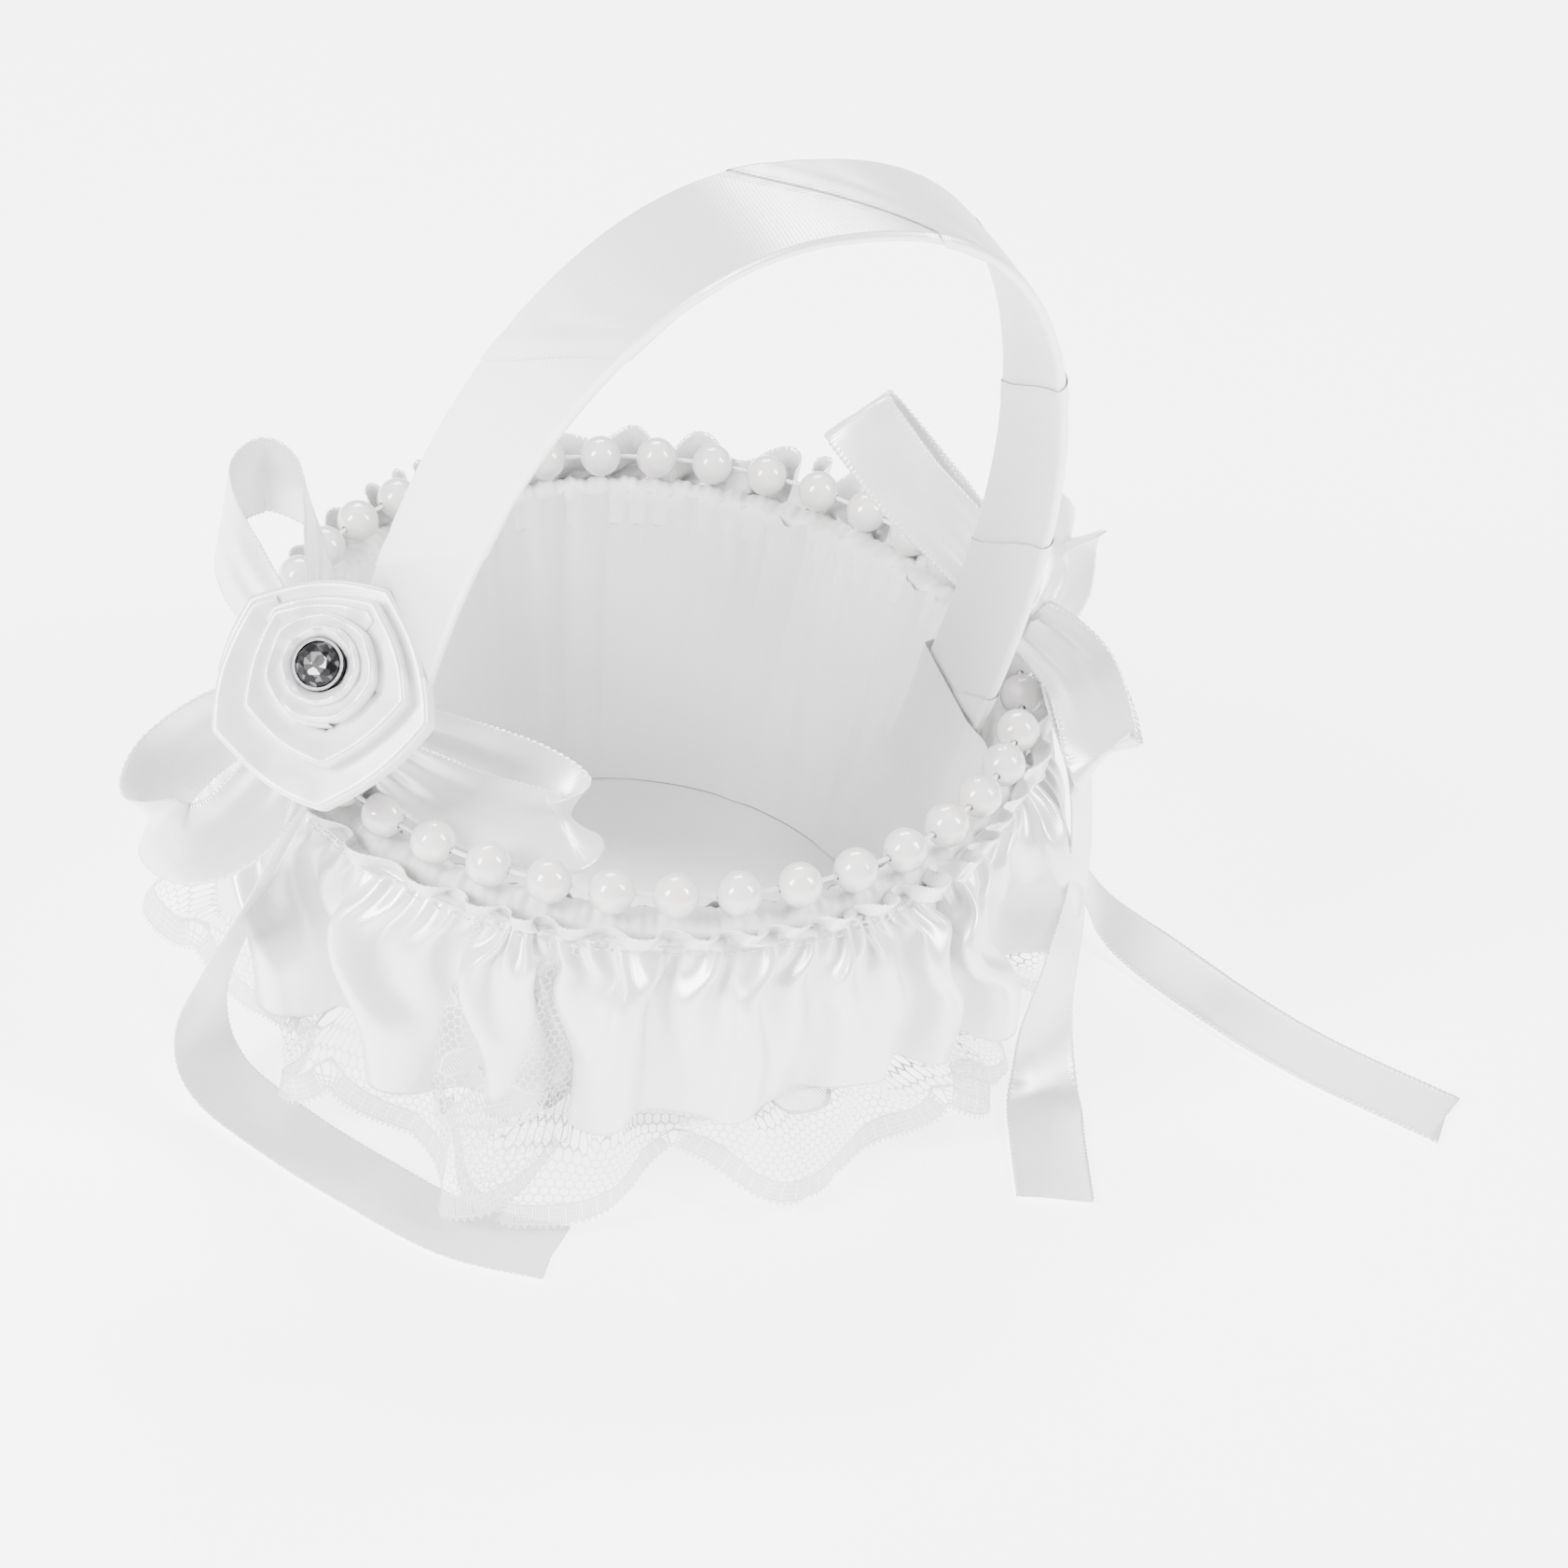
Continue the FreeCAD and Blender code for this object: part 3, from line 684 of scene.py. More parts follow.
class LaceDrawing:
    """Threads drawn on the flat lace in millimetres, and then laid on the draped surface."""

    def __init__(self):
        self.threads = []

    def line(self, start, end, width, lift=0.0):
        start, end = np.atleast_2d(start), np.atleast_2d(end)
        self.threads.append((start, end, np.full(len(start), width), np.full(len(start), lift)))

    def path(self, points, width, lift=0.0, closed=False):
        points = np.asarray(points, float)
        if closed:
            points = np.vstack([points, points[:1]])
        self.line(points[:-1], points[1:], width, lift)

    def build(self, name, material):
        a, b, wide, lift = (np.concatenate(rows) for rows in zip(*self.threads))
        keep = (a[:, 0] >= 0) & (b[:, 0] >= 0) & (a[:, 0] <= LACE_LONG) & (b[:, 0] <= LACE_LONG)
        a, b, wide, lift = a[keep], b[keep], wide[keep], lift[keep]
        along = unit(b - a)
        side = np.stack([-along[:, 1], along[:, 0]], axis=1) * wide[:, None] / 2
        past_end = 0.04
        a, b = a - along * past_end, b + along * past_end
        corners = np.stack([a - side, b - side, b + side, a + side], axis=1).reshape(-1, 2)
        s, v = np.clip(corners[:, 0] / LACE_LONG, 0, 1), corners[:, 1] / LACE_DEEP
        place = lace_surface(s, v)
        beside, below = 2e-3, 3e-2
        du = lace_surface(s + beside, v) - lace_surface(s - beside, v)
        dv = lace_surface(s, v + below) - lace_surface(s, v - below)
        normal = unit(np.cross(dv, du))
        outward = np.sign((normal[:, :2] * place[:, :2]).sum(axis=1))[:, None]
        place = place + normal * outward * np.repeat(lift, 4)[:, None] * MM
        mesh = bpy.data.meshes.new(name)
        quads = np.arange(len(place)).reshape(-1, 4)
        mesh.from_pydata(place.tolist(), [], quads.tolist())
        return finish_piece(name, mesh, material, smooth=False), wide, np.linalg.norm(b - a, axis=1)


def lens(centre, length, width, turn, count=28):
    """A pointed oval, as points round its outline."""
    u = np.linspace(-1, 1, count)
    top = np.stack([u * length / 2, width / 2 * (1 - u ** 2)], axis=1)
    ring = np.vstack([top, top[::-1] * [1, -1]])
    c, s = math.cos(turn), math.sin(turn)
    return ring @ np.array([[c, s], [-s, c]]) + np.asarray(centre)


def inside_lens(points, centre, length, width, turn):
    c, s = math.cos(turn), math.sin(turn)
    local = (points - np.asarray(centre)) @ np.array([[c, -s], [s, c]])
    u = local[:, 0] / (length / 2)
    return (np.abs(u) < 1) & (np.abs(local[:, 1]) < width / 2 * (1 - u ** 2))


def motifs():
    """The ovals of every repeat of the pattern: centre, length, width and turn, in millimetres."""
    found = []
    for k in range(SCALLOPS):
        x = (k + 0.5) * SCALLOP_PITCH
        found.append(((x, 42.0), 17.0, 7.0, 0.0))
        found += [((x + side * 18.0, 38.0), 20.0, 8.0, -side * 0.42) for side in (-1, 1)]
        found += [((x + side * 9.0, 30.5), 9.0, 4.2, -side * 0.9) for side in (-1, 1)]
        found.append(((x, 20.0), 10.0, 4.6, 0.0))
        found += [((k * SCALLOP_PITCH, 22.0), 11.0, 4.6, turn) for turn in (0.8, -0.8)]
    return found


def draw_net(drawing, ovals):
    """The six-sided ground, left open inside the ovals and along the border."""
    rise = NET_CELL * math.sqrt(3) / 2
    side = NET_CELL / math.sqrt(3)
    cols, rows = int(LACE_LONG / NET_CELL) + 2, int(LACE_DEEP / rise) + 2
    j, i = np.meshgrid(np.arange(rows), np.arange(cols), indexing="ij")
    cx = (i + 0.5 * (j % 2)) * NET_CELL
    cy = j * rise

    def corners(turn):
        return np.stack([cx + side * math.cos(turn), cy + side * math.sin(turn)], axis=-1).reshape(-1, 2)

    for degrees in (90, 150, 210):
        first = math.radians(degrees)
        a, b = corners(first), corners(first + math.radians(60))
        middle = 0.5 * (a + b)
        hem = scallop_edge(middle[:, 0]) * LACE_DEEP - BORDER_IN
        keep = (middle[:, 1] > 0) & (middle[:, 1] < hem)
        for oval in ovals:
            near = np.abs(middle[:, 0] - oval[0][0]) < 14
            if near.any():
                keep[near] &= ~inside_lens(middle[near], *oval)
        drawing.line(a[keep], b[keep], NET_THREAD)


def draw_ovals(drawing, ovals):
    """A cord round each oval, close threads across it, and a rib along its middle."""
    for centre, long, wide, turn in ovals:
        drawing.path(lens(centre, long, wide, turn), CORD_THREAD, 0.12, closed=True)
        c, s = math.cos(turn), math.sin(turn)
        spin = np.array([[c, s], [-s, c]])
        half = long / 2
        for u in np.arange(-half + 0.5, half - 0.3, FILL_PITCH):
            reach = wide / 2 * (1 - (u / half) ** 2)
            if reach > 0.35:
                ends = np.array([[u, -reach], [u, reach]]) @ spin + np.asarray(centre)
                drawing.line(ends[0], ends[1], FILL_THREAD, 0.05)
        tips = [np.array([tip, 0.0]) @ spin + centre for tip in (-half, half)]
        drawing.line(tips[0], tips[1], 0.5, 0.1)


def draw_border(drawing):
    """The scalloped border: two cords, woven blocks between them, and picots along the hem."""
    hem_x = np.linspace(0, LACE_LONG, 1400)
    hem = np.column_stack([hem_x, scallop_edge(hem_x) * LACE_DEEP])
    tangent = unit(np.gradient(hem, axis=0))
    inward = np.column_stack([tangent[:, 1], -tangent[:, 0]])
    drawing.path(hem + inward * 4.4, 0.55, 0.12)
    drawing.path(hem + inward * BORDER_OUT, 0.45, 0.1)
    run = running_length(hem)
    for mark in np.arange(0.4, run[-1] - BLOCK_LONG, BLOCK_LONG):
        threads = np.arange(mark, mark + BLOCK_LONG - BLOCK_GAP, 0.5)
        at = read_between(threads, run, hem)
        into = unit(read_between(threads, run, inward))
        drawing.line(at + into * BORDER_OUT, at + into * BORDER_IN, 0.36, 0.06)
        for level in (1.3, 2.3, 3.3):
            drawing.line(at[:1] + into[:1] * level, at[-1:] + into[-1:] * level, 0.3, 0.06)
    picots = np.arange(0.6, run[-1] - 1, PICOT_PITCH)
    for start, low, high in ((0.0, 0.5, -0.45), (PICOT_HALF, -0.45, 0.5)):
        ends = []
        for at, level in ((picots + start, low), (picots + start + PICOT_HALF, high)):
            ends.append(read_between(at, run, hem) + read_between(at, run, inward) * level)
        drawing.line(ends[0], ends[1], 0.28, 0.05)


def lace_ruffle():
    """Lace: a six-sided net ground, outlined and filled ovals, and a scalloped border of woven blocks."""
    drape_lace()
    drawing = LaceDrawing()
    ovals = motifs()
    draw_net(drawing, ovals)
    draw_ovals(drawing, ovals)
    draw_border(drawing)
    for end in (0.3, LACE_LONG - 0.3):
        drawing.line([end, 0.0], [end, scallop_edge(end) * LACE_DEEP], 0.4)
    piece, wide, runs = drawing.build("lace_ruffle_net", LACE)
    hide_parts("lace_ruffle")


# ---- handle
HOOP_FOOT = 57.8 * MM
HOOP_LENGTH = 160.6 * MM
HOOP_POWER = 0.88
APEX_SHIFT = 1.9 * MM
FOOT_DROP = 34 * MM
HOOP_NEAR_ACROSS = np.array([0.26, -0.965, 0.0])
HOOP_FAR_ACROSS = np.array([0.0, -1.0, 0.0])
TWIST_START, TWIST_END = 4 / 56, 52 / 56


def hoop_line(count):
    """The handle's centre line and the direction of its width, as in the CAD."""
    rise = np.array([0, -math.sin(HOOP_LEAN), math.cos(HOOP_LEAN)])
    middle = np.array([0, -HOOP_OFFSET, BEAD_Z])
    leg_points, arch_points = 30, 400
    t = np.linspace(0, math.pi, arch_points)
    c, s = np.cos(t), np.clip(np.sin(t), 0, None)
    reach = -np.sign(c) * np.abs(c) ** HOOP_POWER
    height = s ** HOOP_POWER
    sideways = reach * HOOP_FOOT - height * APEX_SHIFT
    arch = middle + np.outer(sideways, [1, 0, 0]) + np.outer(height * HOOP_LENGTH, rise)
    low = np.linspace(FOOT_DROP, 0, leg_points, endpoint=False)
    near = middle + np.array([-HOOP_FOOT, 0, 0]) - np.outer(low, rise)
    far = middle + np.array([HOOP_FOOT, 0, 0]) - np.outer(low[::-1], rise)
    line = np.vstack([near, arch, far])
    along = running_length(line)
    mix = np.concatenate([np.linspace(0, TWIST_START, leg_points),
                          np.linspace(TWIST_START, TWIST_END, arch_points),
                          np.linspace(TWIST_END, 1, leg_points)])
    want = np.linspace(0, along[-1], count)
    points = read_between(want, along, line)
    share = np.interp(want, along, mix)[:, None]
    tangent = unit(np.gradient(points, axis=0))
    across = square_to(tangent, HOOP_NEAR_ACROSS * (1 - share) + HOOP_FAR_ACROSS * share)
    return points, tangent, across, along[-1]


WRAP_FIRST = 76.2 * MM
WRAP_PITCH = 58.7 * MM
WRAP_LAP = 5 * MM
WRAP_TURNS = 5


def wrap_seam(turn):
    """How far along the hoop the ribbon's leading edge is after a number of turns.

    It slants more on the outer face of the near leg and on the inner face of the far leg.
    """
    through = math.pi * turn / WRAP_TURNS
    bow = 7 * MM * np.sin(through)
    slant = 9 * MM * np.cos(through) * np.sin(math.pi * turn) ** 2
    return WRAP_FIRST + WRAP_PITCH * turn + bow + slant


def flat_tube(share, half_width, half_thick):
    """Place and outward direction, at a share of the way round a flat strip with round edges."""
    straight = 2 * (half_width - half_thick)
    arc = math.pi * half_thick
    run = (share % 1.0) * 2 * (straight + arc)
    x, y = np.empty_like(run), np.empty_like(run)
    nx, ny = np.empty_like(run), np.empty_like(run)
    for side in (0, 1):
        sign = 1 - 2 * side
        local = run - side * (straight + arc)
        flat = (local >= 0) & (local < straight)
        x[flat] = sign * (-straight / 2 + local[flat])
        y[flat] = sign * half_thick
        nx[flat], ny[flat] = 0.0, sign
        bend = (local >= straight) & (local < straight + arc)
        w = (local[bend] - straight) / half_thick
        nx[bend], ny[bend] = sign * np.sin(w), sign * np.cos(w)
        x[bend] = sign * straight / 2 + half_thick * nx[bend]
        y[bend] = half_thick * ny[bend]
    return x, y, nx, ny


def handle_wrap():
    """Satin ribbon wound in a spiral round the hoop: each turn lies over the edge of the one before."""
    line, tangent, across, length = hoop_line(1200)
    normal = np.cross(tangent, across)
    half_width, half_thick = 12.3 * MM, 0.9 * MM
    round_length = 4 * (half_width - half_thick) + TAU * half_thick
    first_turn, last_turn, per_turn, cols = -2.6, 6.4, 190, 72
    u = np.linspace(first_turn, last_turn, int((last_turn - first_turn) * per_turn))[:, None]
    v = np.linspace(0, 1, cols)[None, :]
    band = WRAP_PITCH + WRAP_LAP
    s = wrap_seam(u) + v * (wrap_seam(u + 1) - wrap_seam(u) + WRAP_LAP)
    inside = np.clip(s, 0, length)
    where = inside / length * (len(line) - 1)
    low = np.clip(where.astype(int), 0, len(line) - 2)
    part = (where - low)[..., None]
    at, wide, face = (row[low] * (1 - part) + row[low + 1] * part for row in (line, across, normal))
    share = np.broadcast_to(-u, s.shape) - 0.5 * math.pi * half_thick / round_length
    x, y, nx, ny = flat_tube(share, half_width, half_thick)
    lap = WRAP_LAP / band
    over = 1 / (1 + np.exp((v - lap * 1.5) / 0.012))
    selvedge = 0.05 * MM * np.exp(-(v / 0.012) ** 2)
    wrinkle = 0.10 * MM * np.sin(TAU * (u * 3.1 + v * 5.0) + 2 * np.sin(TAU * u))
    wrinkle = wrinkle * np.exp(-((v - 0.16) / 0.10) ** 2)
    crown = 0.30 * MM * (1 - (x / half_width) ** 2)
    out = 0.02 * MM + 0.24 * MM * over + selvedge + wrinkle * (1 - over) + crown
    points = at + wide * (x + nx * out)[..., None] + face * (y + ny * out)[..., None]
    turn_length = math.hypot(round_length, WRAP_PITCH)
    ribbon_width = band * round_length / turn_length
    uv = flat_map(u * turn_length / MM, v * ribbon_width / MM)
    whole = (s[:-1, :-1] >= 0) & (s[1:, 1:] <= length)
    piece = grid("handle_wrap_ribbon", points, uv, WRAP, ["handle_wrap"], keep=whole)


# ---- bow ribbons
PLEAT_REACH = 0.10


def ribbon(side, part, points, acrosses, narrow, pleats, cup, notch=0.0):
    """A satin ribbon of one bow along a curve in millimetres: a loop on its knot, or a tail on the skirt.

    acrosses are the directions of its width on the way. narrow gives the width's share at its two ends,
    where it is pleated.
    """
    path = np.asarray(points, float) * MM
    _, _, total = spline(path, 200)
    count, cols = int(total / (0.28 * MM)), 25
    line, tangent, total = spline(path, count)
    u = np.linspace(0, 1, count)
    key = np.linspace(0, 1, len(acrosses))
    across = square_to(tangent, read_between(u, key, np.asarray(acrosses, float)))
    normal = np.cross(tangent, across)
    v = np.linspace(-1, 1, cols)[None, :]
    start, end = (np.exp(-way / PLEAT_REACH)[:, None] for way in (u, 1 - u))
    grip = start * (1 - narrow[0]) + end * (1 - narrow[1])
    half = RIBBON_WIDTH / 2 * (1 - grip)
    teeth = 0.14 * MM * np.sin(np.arange(count) * math.pi / 2)[:, None]
    offset = v * half + np.sign(v) * np.where(np.abs(v) > 0.99, teeth, 0.0)
    fold = pleats * MM * grip / max(1e-6, 1 - min(narrow)) * np.cos(2.5 * math.pi * v)
    bend = cup * MM * (v ** 2 - 0.33) * np.sin(math.pi * u)[:, None]
    selvedge = 0.07 * MM * (np.abs(v) > 0.90)
    shape = (line[:, None, :] + across[:, None, :] * offset[..., None]
             + normal[:, None, :] * (fold + bend + selvedge)[..., None])
    if notch:
        shape[-1] += tangent[-1] * (notch * MM * v[0])[:, None]
    uv = flat_map(u[:, None] * total / MM, (v + 1) * RIBBON_WIDTH / MM / 2)
    piece = grid(f"{side}_{part}", shape, uv, RIBBON, [f"{side}_bow_{part}"],
                 thickness=0.28 * MM)


def bows():
    """Both bows: three loops each, and tails that run down the skirt and along the ground."""
    ribbon("near", "upper_loop", [
        (-70, -22, 96), (-67, -8, 98), (-64, 6, 101), (-64.5, 18, 104), (-71, 24.5, 106), (-79, 19, 105),
        (-81, 8, 102), (-77, -8, 98), (-71, -23, 95),
    ], [(0.3, 0, -1), (0.45, 0.1, -0.87), (0.03, -0.22, -0.97), (-0.4, 0.1, -0.9), (-0.2, 0, -1)],
        narrow=(0.6, 0.6), pleats=1.4, cup=0.7)
    ribbon("near", "lower_loop", [
        (-72, -25, 90), (-80, -23, 87), (-90, -23, 83), (-99, -26, 77), (-102.5, -32, 72), (-98, -38, 70),
        (-90, -39, 72), (-82, -36, 78), (-73, -30, 87),
    ], [(0, -0.25, -0.97), (0.0, -0.35, -0.9), (0.14, -0.65, -0.75), (0.4, -0.55, -0.7), (0.5, -0.6, -0.4)],
        narrow=(0.55, 0.6), pleats=1.6, cup=0.9)
    ribbon("near", "inner_loop", [
        (-62, -33, 83), (-54, -39, 78.5), (-46, -44, 75.5), (-37, -48.5, 74), (-30, -51, 73.2),
        (-28, -47, 74.5), (-34, -41, 77.5), (-46, -35, 81), (-60, -29, 85),
    ], [(-0.4, 0.5, 0.75), (-0.3, 0.66, 0.69), (-0.29, 0.66, 0.69), (-0.2, 0.7, 0.69), (-0.3, 0.6, 0.7)],
        narrow=(0.5, 0.5), pleats=1.5, cup=1.0)
    ribbon("near", "tail", [
        (-72, -30, 84), (-75, -34, 75), (-79, -33, 62), (-87, -26, 34), (-91, -22, 15), (-88.5, -28.5, 4.2),
        (-78, -43, 0.9), (-66, -59, 0.6), (-52, -75, 0.6), (-36, -84, 0.5),
    ], [(0.6, 0.8, 0), (0.6, 0.8, 0.0), (0.75, 0.65, 0), (0.84, 0.54, 0), (0.7, 0.7, 0), (0.49, 0.87, 0)],
        narrow=(0.75, 1.0), pleats=1.0, cup=0.25, notch=1.2)
    ribbon("far", "upper_loop", [
        (66, -7, 88), (60, 2, 94), (53, 10, 100), (47.5, 17.5, 106.5), (45, 22.5, 109.5), (48, 24, 107),
        (54, 17, 101), (61, 7, 94), (67, -3, 88),
    ], [(0.75, 0.2, 0.6), (0.92, -0.03, 0.38), (0.85, 0.1, 0.5), (0.92, -0.03, 0.38), (0.75, 0.2, 0.6)],
        narrow=(0.7, 0.7), pleats=1.4, cup=0.9)
    ribbon("far", "lower_loop", [
        (70, -18, 85), (74, -23, 83), (77.5, -29, 79.5), (79, -35, 73), (79.5, -39, 67.5), (81.5, -36, 66.5),
        (81, -29, 72), (77, -21, 79), (71, -15, 84),
    ], [(0.7, 0.3, 0.6), (0.75, 0.28, 0.6), (0.72, 0.3, 0.62), (0.75, 0.28, 0.6), (0.7, 0.3, 0.6)],
        narrow=(0.75, 0.75), pleats=1.5, cup=1.0)
    ribbon("far", "back_loop", [
        (69, -14, 86), (73, -10, 91), (77, -5, 95), (81, 0, 95), (84, 0, 91), (82, -5, 87),
        (77, -10, 85), (70, -14, 84),
    ], [(0.5, -0.3, -0.6), (0.3, -0.4, -0.8), (0.3, -0.4, -0.8)],
        narrow=(0.6, 0.6), pleats=1.2, cup=0.5)
    ribbon("far", "right_tail", [
        (73, -8, 80), (79, -3, 68), (83, -3, 48), (89, -3, 26), (96, -7, 9), (103, -15, 1.6),
        (114, -37, 0.7), (127, -58, 0.6), (147, -81, 0.5),
    ], [(0, 1, 0), (0.1, 1, 0), (0.6, 0.8, 0), (0.8, 0.6, 0)],
        narrow=(0.6, 1.0), pleats=1.2, cup=0.25, notch=-2.0)
    ribbon("far", "front_tail", [
        (73, -24, 76), (77, -34, 63), (77, -42, 46), (75, -46, 30), (72, -50, 12), (70, -58, 2.2),
        (66.5, -70, 0.8), (62, -88, 0.5),
    ], [(0.48, 0.88, 0), (0.6, 0.8, 0), (0.9, 0.4, 0), (0.98, 0.2, 0)],
        narrow=(0.7, 1.0), pleats=1.2, cup=0.25, notch=0.6)


def knots():
    """Each bow's knot: one turn of ribbon wound round the gathered folds."""
    for name, node in (("near_knot_ribbon", "near_bow_knot"), ("far_knot_ribbon", "far_bow_knot")):
        middle, size = middle_of(node)
        count, cols, turns = 60, 17, 1.1
        w = np.linspace(0, TAU * turns, count)[:, None]
        v = np.linspace(-1, 1, cols)[None, :]
        swell = 1 + 0.06 * w / TAU
        waist = 1 - 0.12 * v ** 2
        x = 0.42 * size[0] * np.cos(w) * swell * waist
        z = 0.46 * size[2] * np.sin(w) * swell * waist
        y = 0.42 * size[1] * v * (1 + 0.05 * np.cos(3 * w))
        ridge = 0.25 * MM * np.cos(5 * math.pi * v)
        points = middle + np.stack([x + ridge * np.cos(w), y, z + ridge * np.sin(w)], axis=-1)
        long = TAU * turns * 0.44 * (size[0] + size[2]) / 2
        uv = flat_map(w / TAU * long / MM, v * 6.0 + 7.5)
        piece = grid(name, points, uv, RIBBON, [node], thickness=0.3 * MM)


# ---- rosette
ROSE_AXIS = unit((-0.455, -0.611, 0.648))
STONE_RISE = 12.1 * MM
FELT_RADIUS = 13.0


def rose_frame():
    """Base point and axes of the rosette, from the place of the stone's cup."""
    stone, _ = middle_of("stone_cup")
    base = stone - ROSE_AXIS * STONE_RISE
    up = np.array([0, 0, 1.0])
    up = unit(up - ROSE_AXIS * up.dot(ROSE_AXIS))
    right = np.cross(up, ROSE_AXIS)
    return base, right, up


def rolled(name, turns, lips, heights, corners, phase, centre, replaced, seed, band, wall):
    """Ribbon wound round the rosette: a shallow band inside, a folded lip, and a wall behind it.

    lips and heights (mm) run from the start of the winding to its end. corners is the number of folded
    corners in a turn and how sharp they are. centre moves the winding in the rosette's own plane. band is
    the width and depth of the inside band, wall the height of the outside wall.
    """
    base, right, up = rose_frame()
    count = int(260 * turns)
    turn = np.linspace(0, TAU * turns, count)
    share = turn / turn[-1]
    angle = turn + phase
    half = math.pi / corners[0]
    straight = math.cos(half) / np.cos(angle % (2 * half) - half)
    lip_r = np.interp(share, [0, 1], lips) * (1 + corners[1] * (straight / np.mean(straight) - 1))
    lip_r = lip_r + 0.022 * lips[0] * noise(turn / turns, seed, 6)
    lip_z = np.interp(share, [0, 1], heights) + 0.3 * noise(turn / turns, seed + 1, 7)
    inside = np.array([(-1.0, -1.0), (-0.95, -0.62), (-0.8, -0.4), (-0.55, -0.24), (-0.3, -0.12),
                       (-0.1, -0.03)])
    outside = np.array([(0.02, 0.05), (0.26, -0.1), (0.42, -0.5), (0.5, -0.45 * wall), (0.3, -wall)])
    profile = np.vstack([inside * band, outside])
    cols = 34
    line, _, long = spline(np.column_stack([profile, np.zeros(len(profile))]), cols)
    v = np.linspace(0, 1, cols)
    tucked = 1 - np.clip(np.minimum(share, 1 - share) / 0.05, 0, 1)
    r = lip_r[:, None] + line[:, 0][None, :]
    z = (lip_z - 0.9 * tucked)[:, None] + line[:, 1][None, :]
    between_edges = np.sin(math.pi * v)[None, :]
    pull = np.cos(corners[0] * angle + 0.6)[:, None] * between_edges ** 2
    z = z + 0.22 * pull + 0.12 * noise(angle * 3.0, seed + 2, 6)[:, None] * between_edges
    stone_clear = 5.0
    r = np.maximum(r, stone_clear)
    x = r * np.cos(angle)[:, None] + centre[0]
    y = r * np.sin(angle)[:, None] + centre[1]
    points = base + (right * x[..., None] + up * y[..., None] + ROSE_AXIS * z[..., None]) * MM
    run = running_length(points[:, cols // 2])
    uv = flat_map((run / MM)[:, None], long * v[None, :])
    piece = grid(name, points, uv, ROSE, replaced, thickness=0.3 * MM)


def rosette():
    """Heart, middle fold and outer petals of one folded ribbon, sewn on a felt disc."""
    rolled("rose_heart_ribbon", 1.15, (6.2, 6.8), (13.5, 13.1), (9, 0.15), 0.6, (0.0, 0.0),
           ["rose_heart"], 61, band=(2.4, 4.0), wall=6.5)
    rolled("rose_middle_fold", 1.2, (9.0, 9.8), (12.7, 12.2), (7, 0.3), 3.9, (0.2, -0.4),
           (), 64, band=(3.6, 3.6), wall=6.0)
    rolled("rose_petal_ribbon", 1.25, (13.3, 14.8), (11.2, 10.2), (5, 0.55), 1.1, (0.6, -1.8),
           ["rose_petals"], 67, band=(6.2, 4.2), wall=6.0)
    rolled("rose_outer_petals", 1.15, (18.6, 20.0), (8.4, 7.2), (5, 0.5), 2.3, (-0.4, -4.4),
           (), 71, band=(9.0, 4.5), wall=5.0)
    base, right, up = rose_frame()
    rings, cols = 14, 90
    a, r = ring_grid(cols, np.linspace(0.2, FELT_RADIUS, rings))
    z = 0.5 + 0.15 * noise(a, 71, 20, 5) * (r / FELT_RADIUS)
    r = r + (r > FELT_RADIUS - 0.1) * 0.25 * noise(a, 72, 30, 8)
    x, y = r * np.cos(a), r * np.sin(a)
    points = base + (right * x[..., None] + up * y[..., None] + ROSE_AXIS * z[..., None]) * MM
    disc = grid("rose_felt_disc", points, flat_map(x, y), FELT, ["rose_felt"],
                closed=True, thickness=0.9 * MM)


# ---- materials of the kept CAD nodes
def dress_nodes():
    """Give the CAD parts that are kept their own materials."""
    for node, material in (("tub_wall", BOARD), ("tub_base", BOARD), ("handle_core", PLASTIC),
                           ("pearl_thread", THREAD), ("rim_pearls", PEARL), ("stone_cup", METAL),
                           ("rhinestone", CRYSTAL)):
        part = nodes[node]
        part.data.materials.clear()
        part.data.materials.append(material)
        for slot in part.material_slots:
            slot.material = material


# ---- stage, lights and camera
FLOOR_REACH = 3.0
FLOOR_GLOW = 2.9
LIGHT_TARGET = (0, 0, 0.06)


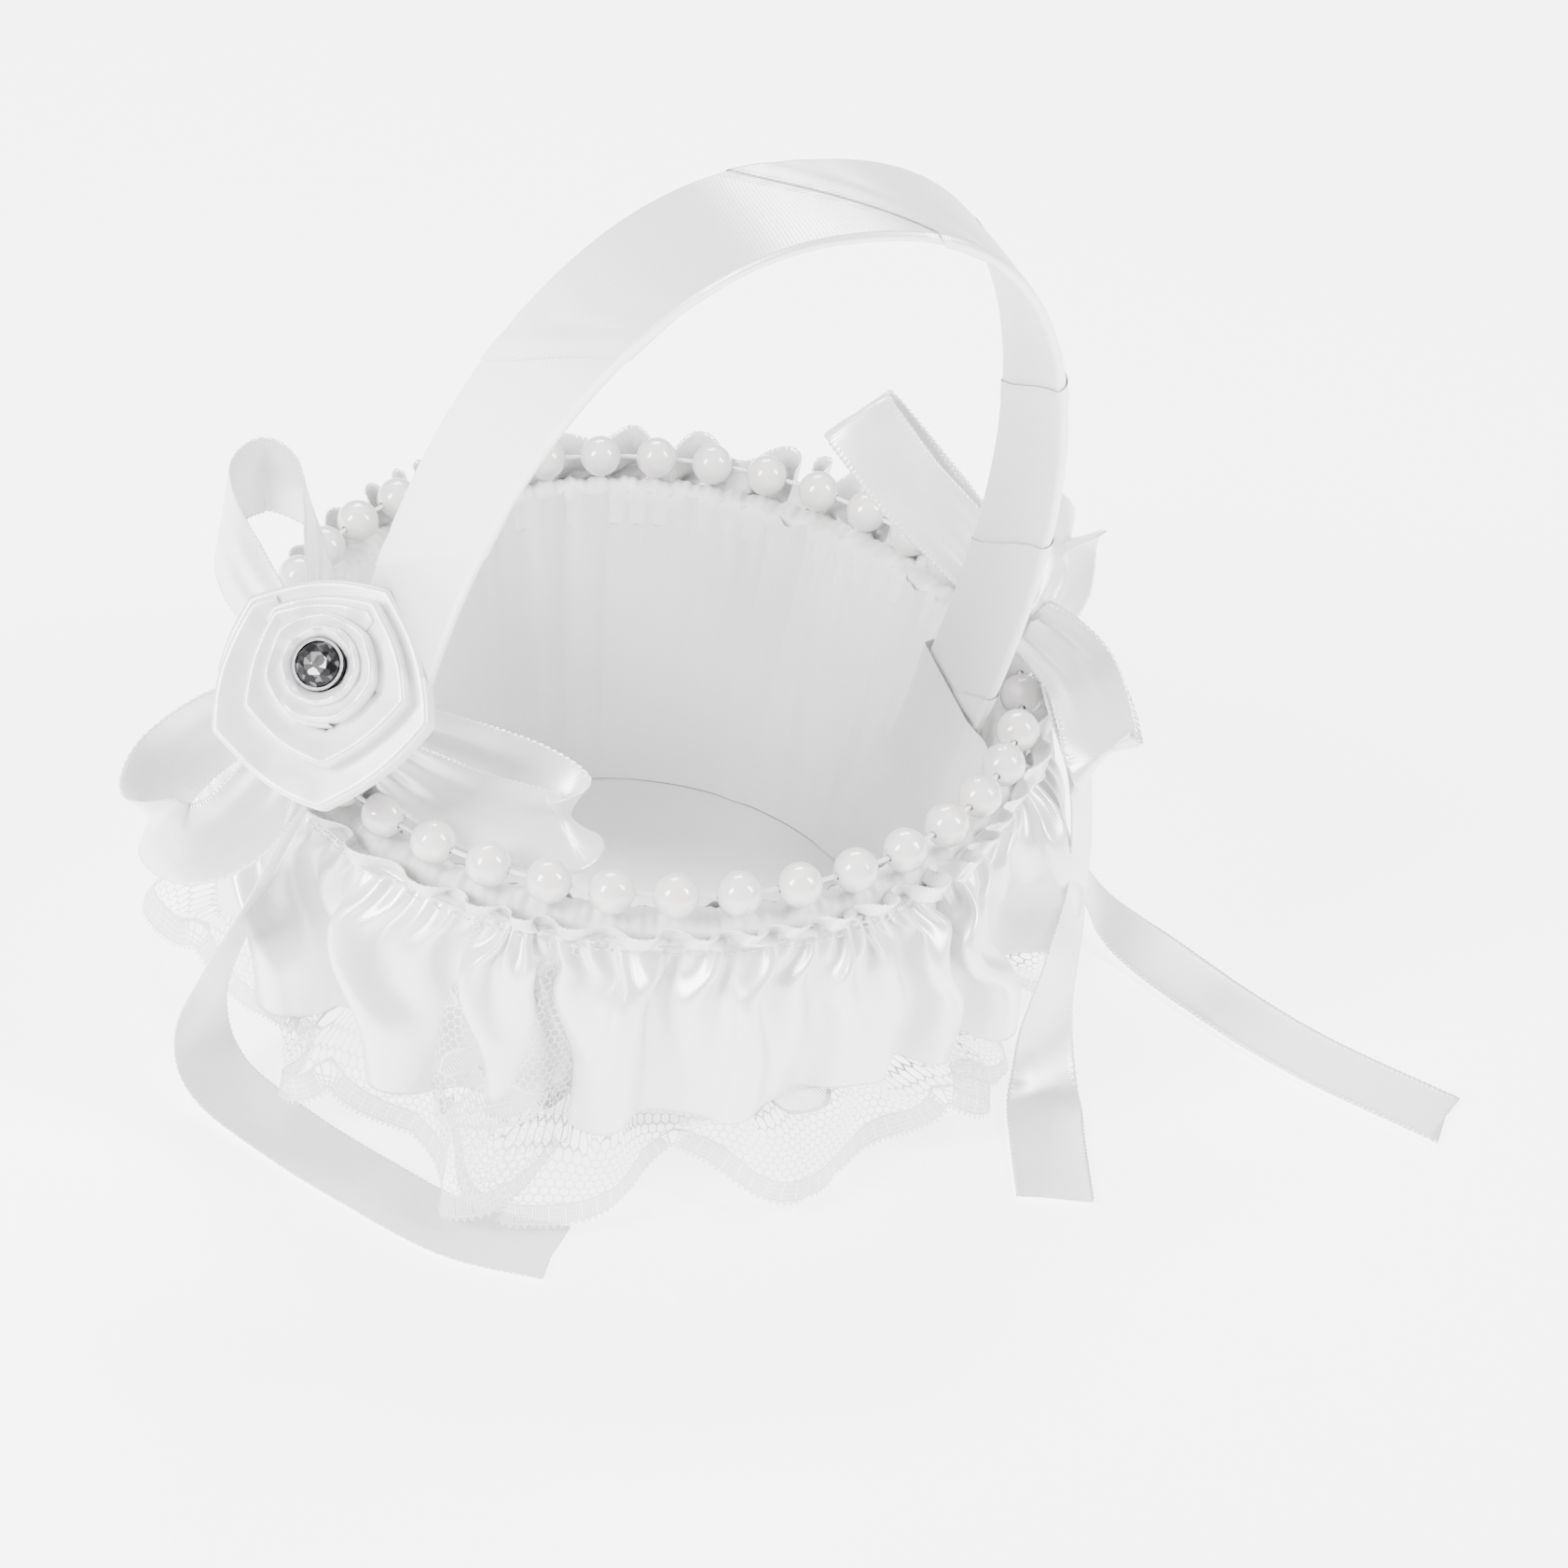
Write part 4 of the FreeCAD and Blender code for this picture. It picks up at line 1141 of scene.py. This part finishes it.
def stage():
    """A pale floor that gives light of its own, in an even white world."""
    floor_mesh = bpy.data.meshes.new("floor")
    reach = FLOOR_REACH
    floor_mesh.from_pydata([(-reach, -reach, 0), (reach, -reach, 0), (reach, reach, 0), (-reach, reach, 0)],
                           [], [(0, 1, 2, 3)])
    floor = placed("floor", floor_mesh)
    shade = Shade("pale_floor")
    shade.set(Base_Color=(0.95, 0.95, 0.95, 1), Roughness=0.9, Specular_IOR_Level=0.1,
              Emission_Color=(1, 1, 1, 1), Emission_Strength=FLOOR_GLOW)
    floor_mesh.materials.append(shade.material)
    floor.location = (0, 0, -0.0004)
    world = bpy.data.worlds.new("studio")
    bpy.context.scene.world = world
    world.use_nodes = True
    background = world.node_tree.nodes["Background"]
    background.inputs["Color"].default_value = (1, 1, 1, 1)
    background.inputs["Strength"].default_value = 0.7


def area_light(name, place, size, power):
    data = bpy.data.lights.new(name, "AREA")
    data.shape = "RECTANGLE"
    data.size, data.size_y = size
    data.energy = power
    lamp = placed(name, data)
    lamp.location = place
    lamp.rotation_euler = (Vector(LIGHT_TARGET) - Vector(place)).to_track_quat("-Z", "Y").to_euler()


def lights():
    area_light("key_left", (-1.0, -0.35, 0.75), (0.30, 0.60), 36)
    area_light("key_right", (0.85, -0.55, 0.85), (0.25, 0.60), 26)
    area_light("top_back", (0.1, 0.9, 1.2), (0.8, 0.3), 30)


# the camera as it was fitted to the photograph, together with the handle
CAMERA_AZIMUTH = math.radians(20.6)
CAMERA_HEIGHT = math.radians(37.0)
CAMERA_ROLL = math.radians(6.6)
CAMERA_DISTANCE = 0.824
CAMERA_TARGET = Vector((0.0222, -0.0213, 0.0553))
CAMERA_LENS = 98.1


def camera():
    data = bpy.data.cameras.new("camera")
    data.lens = CAMERA_LENS
    data.sensor_width = 36
    eye = placed("camera", data)
    level = math.cos(CAMERA_HEIGHT)
    ahead = Vector((math.sin(CAMERA_AZIMUTH) * level, math.cos(CAMERA_AZIMUTH) * level,
                    -math.sin(CAMERA_HEIGHT)))
    look = ahead.to_track_quat("-Z", "Y").to_matrix().to_4x4()
    eye.matrix_world = (Matrix.Translation(CAMERA_TARGET - ahead * CAMERA_DISTANCE) @ look
                        @ Matrix.Rotation(CAMERA_ROLL, 4, "Z"))
    data.clip_start = 0.01
    bpy.context.scene.camera = eye


camera()
dress_nodes()
lining_wall()
lining_floor()
outer_cover()
rim_tape()
satin_ruffle()
gather_stitches()
lace_ruffle()
handle_wrap()
knots()
bows()
rosette()
stage()
lights()
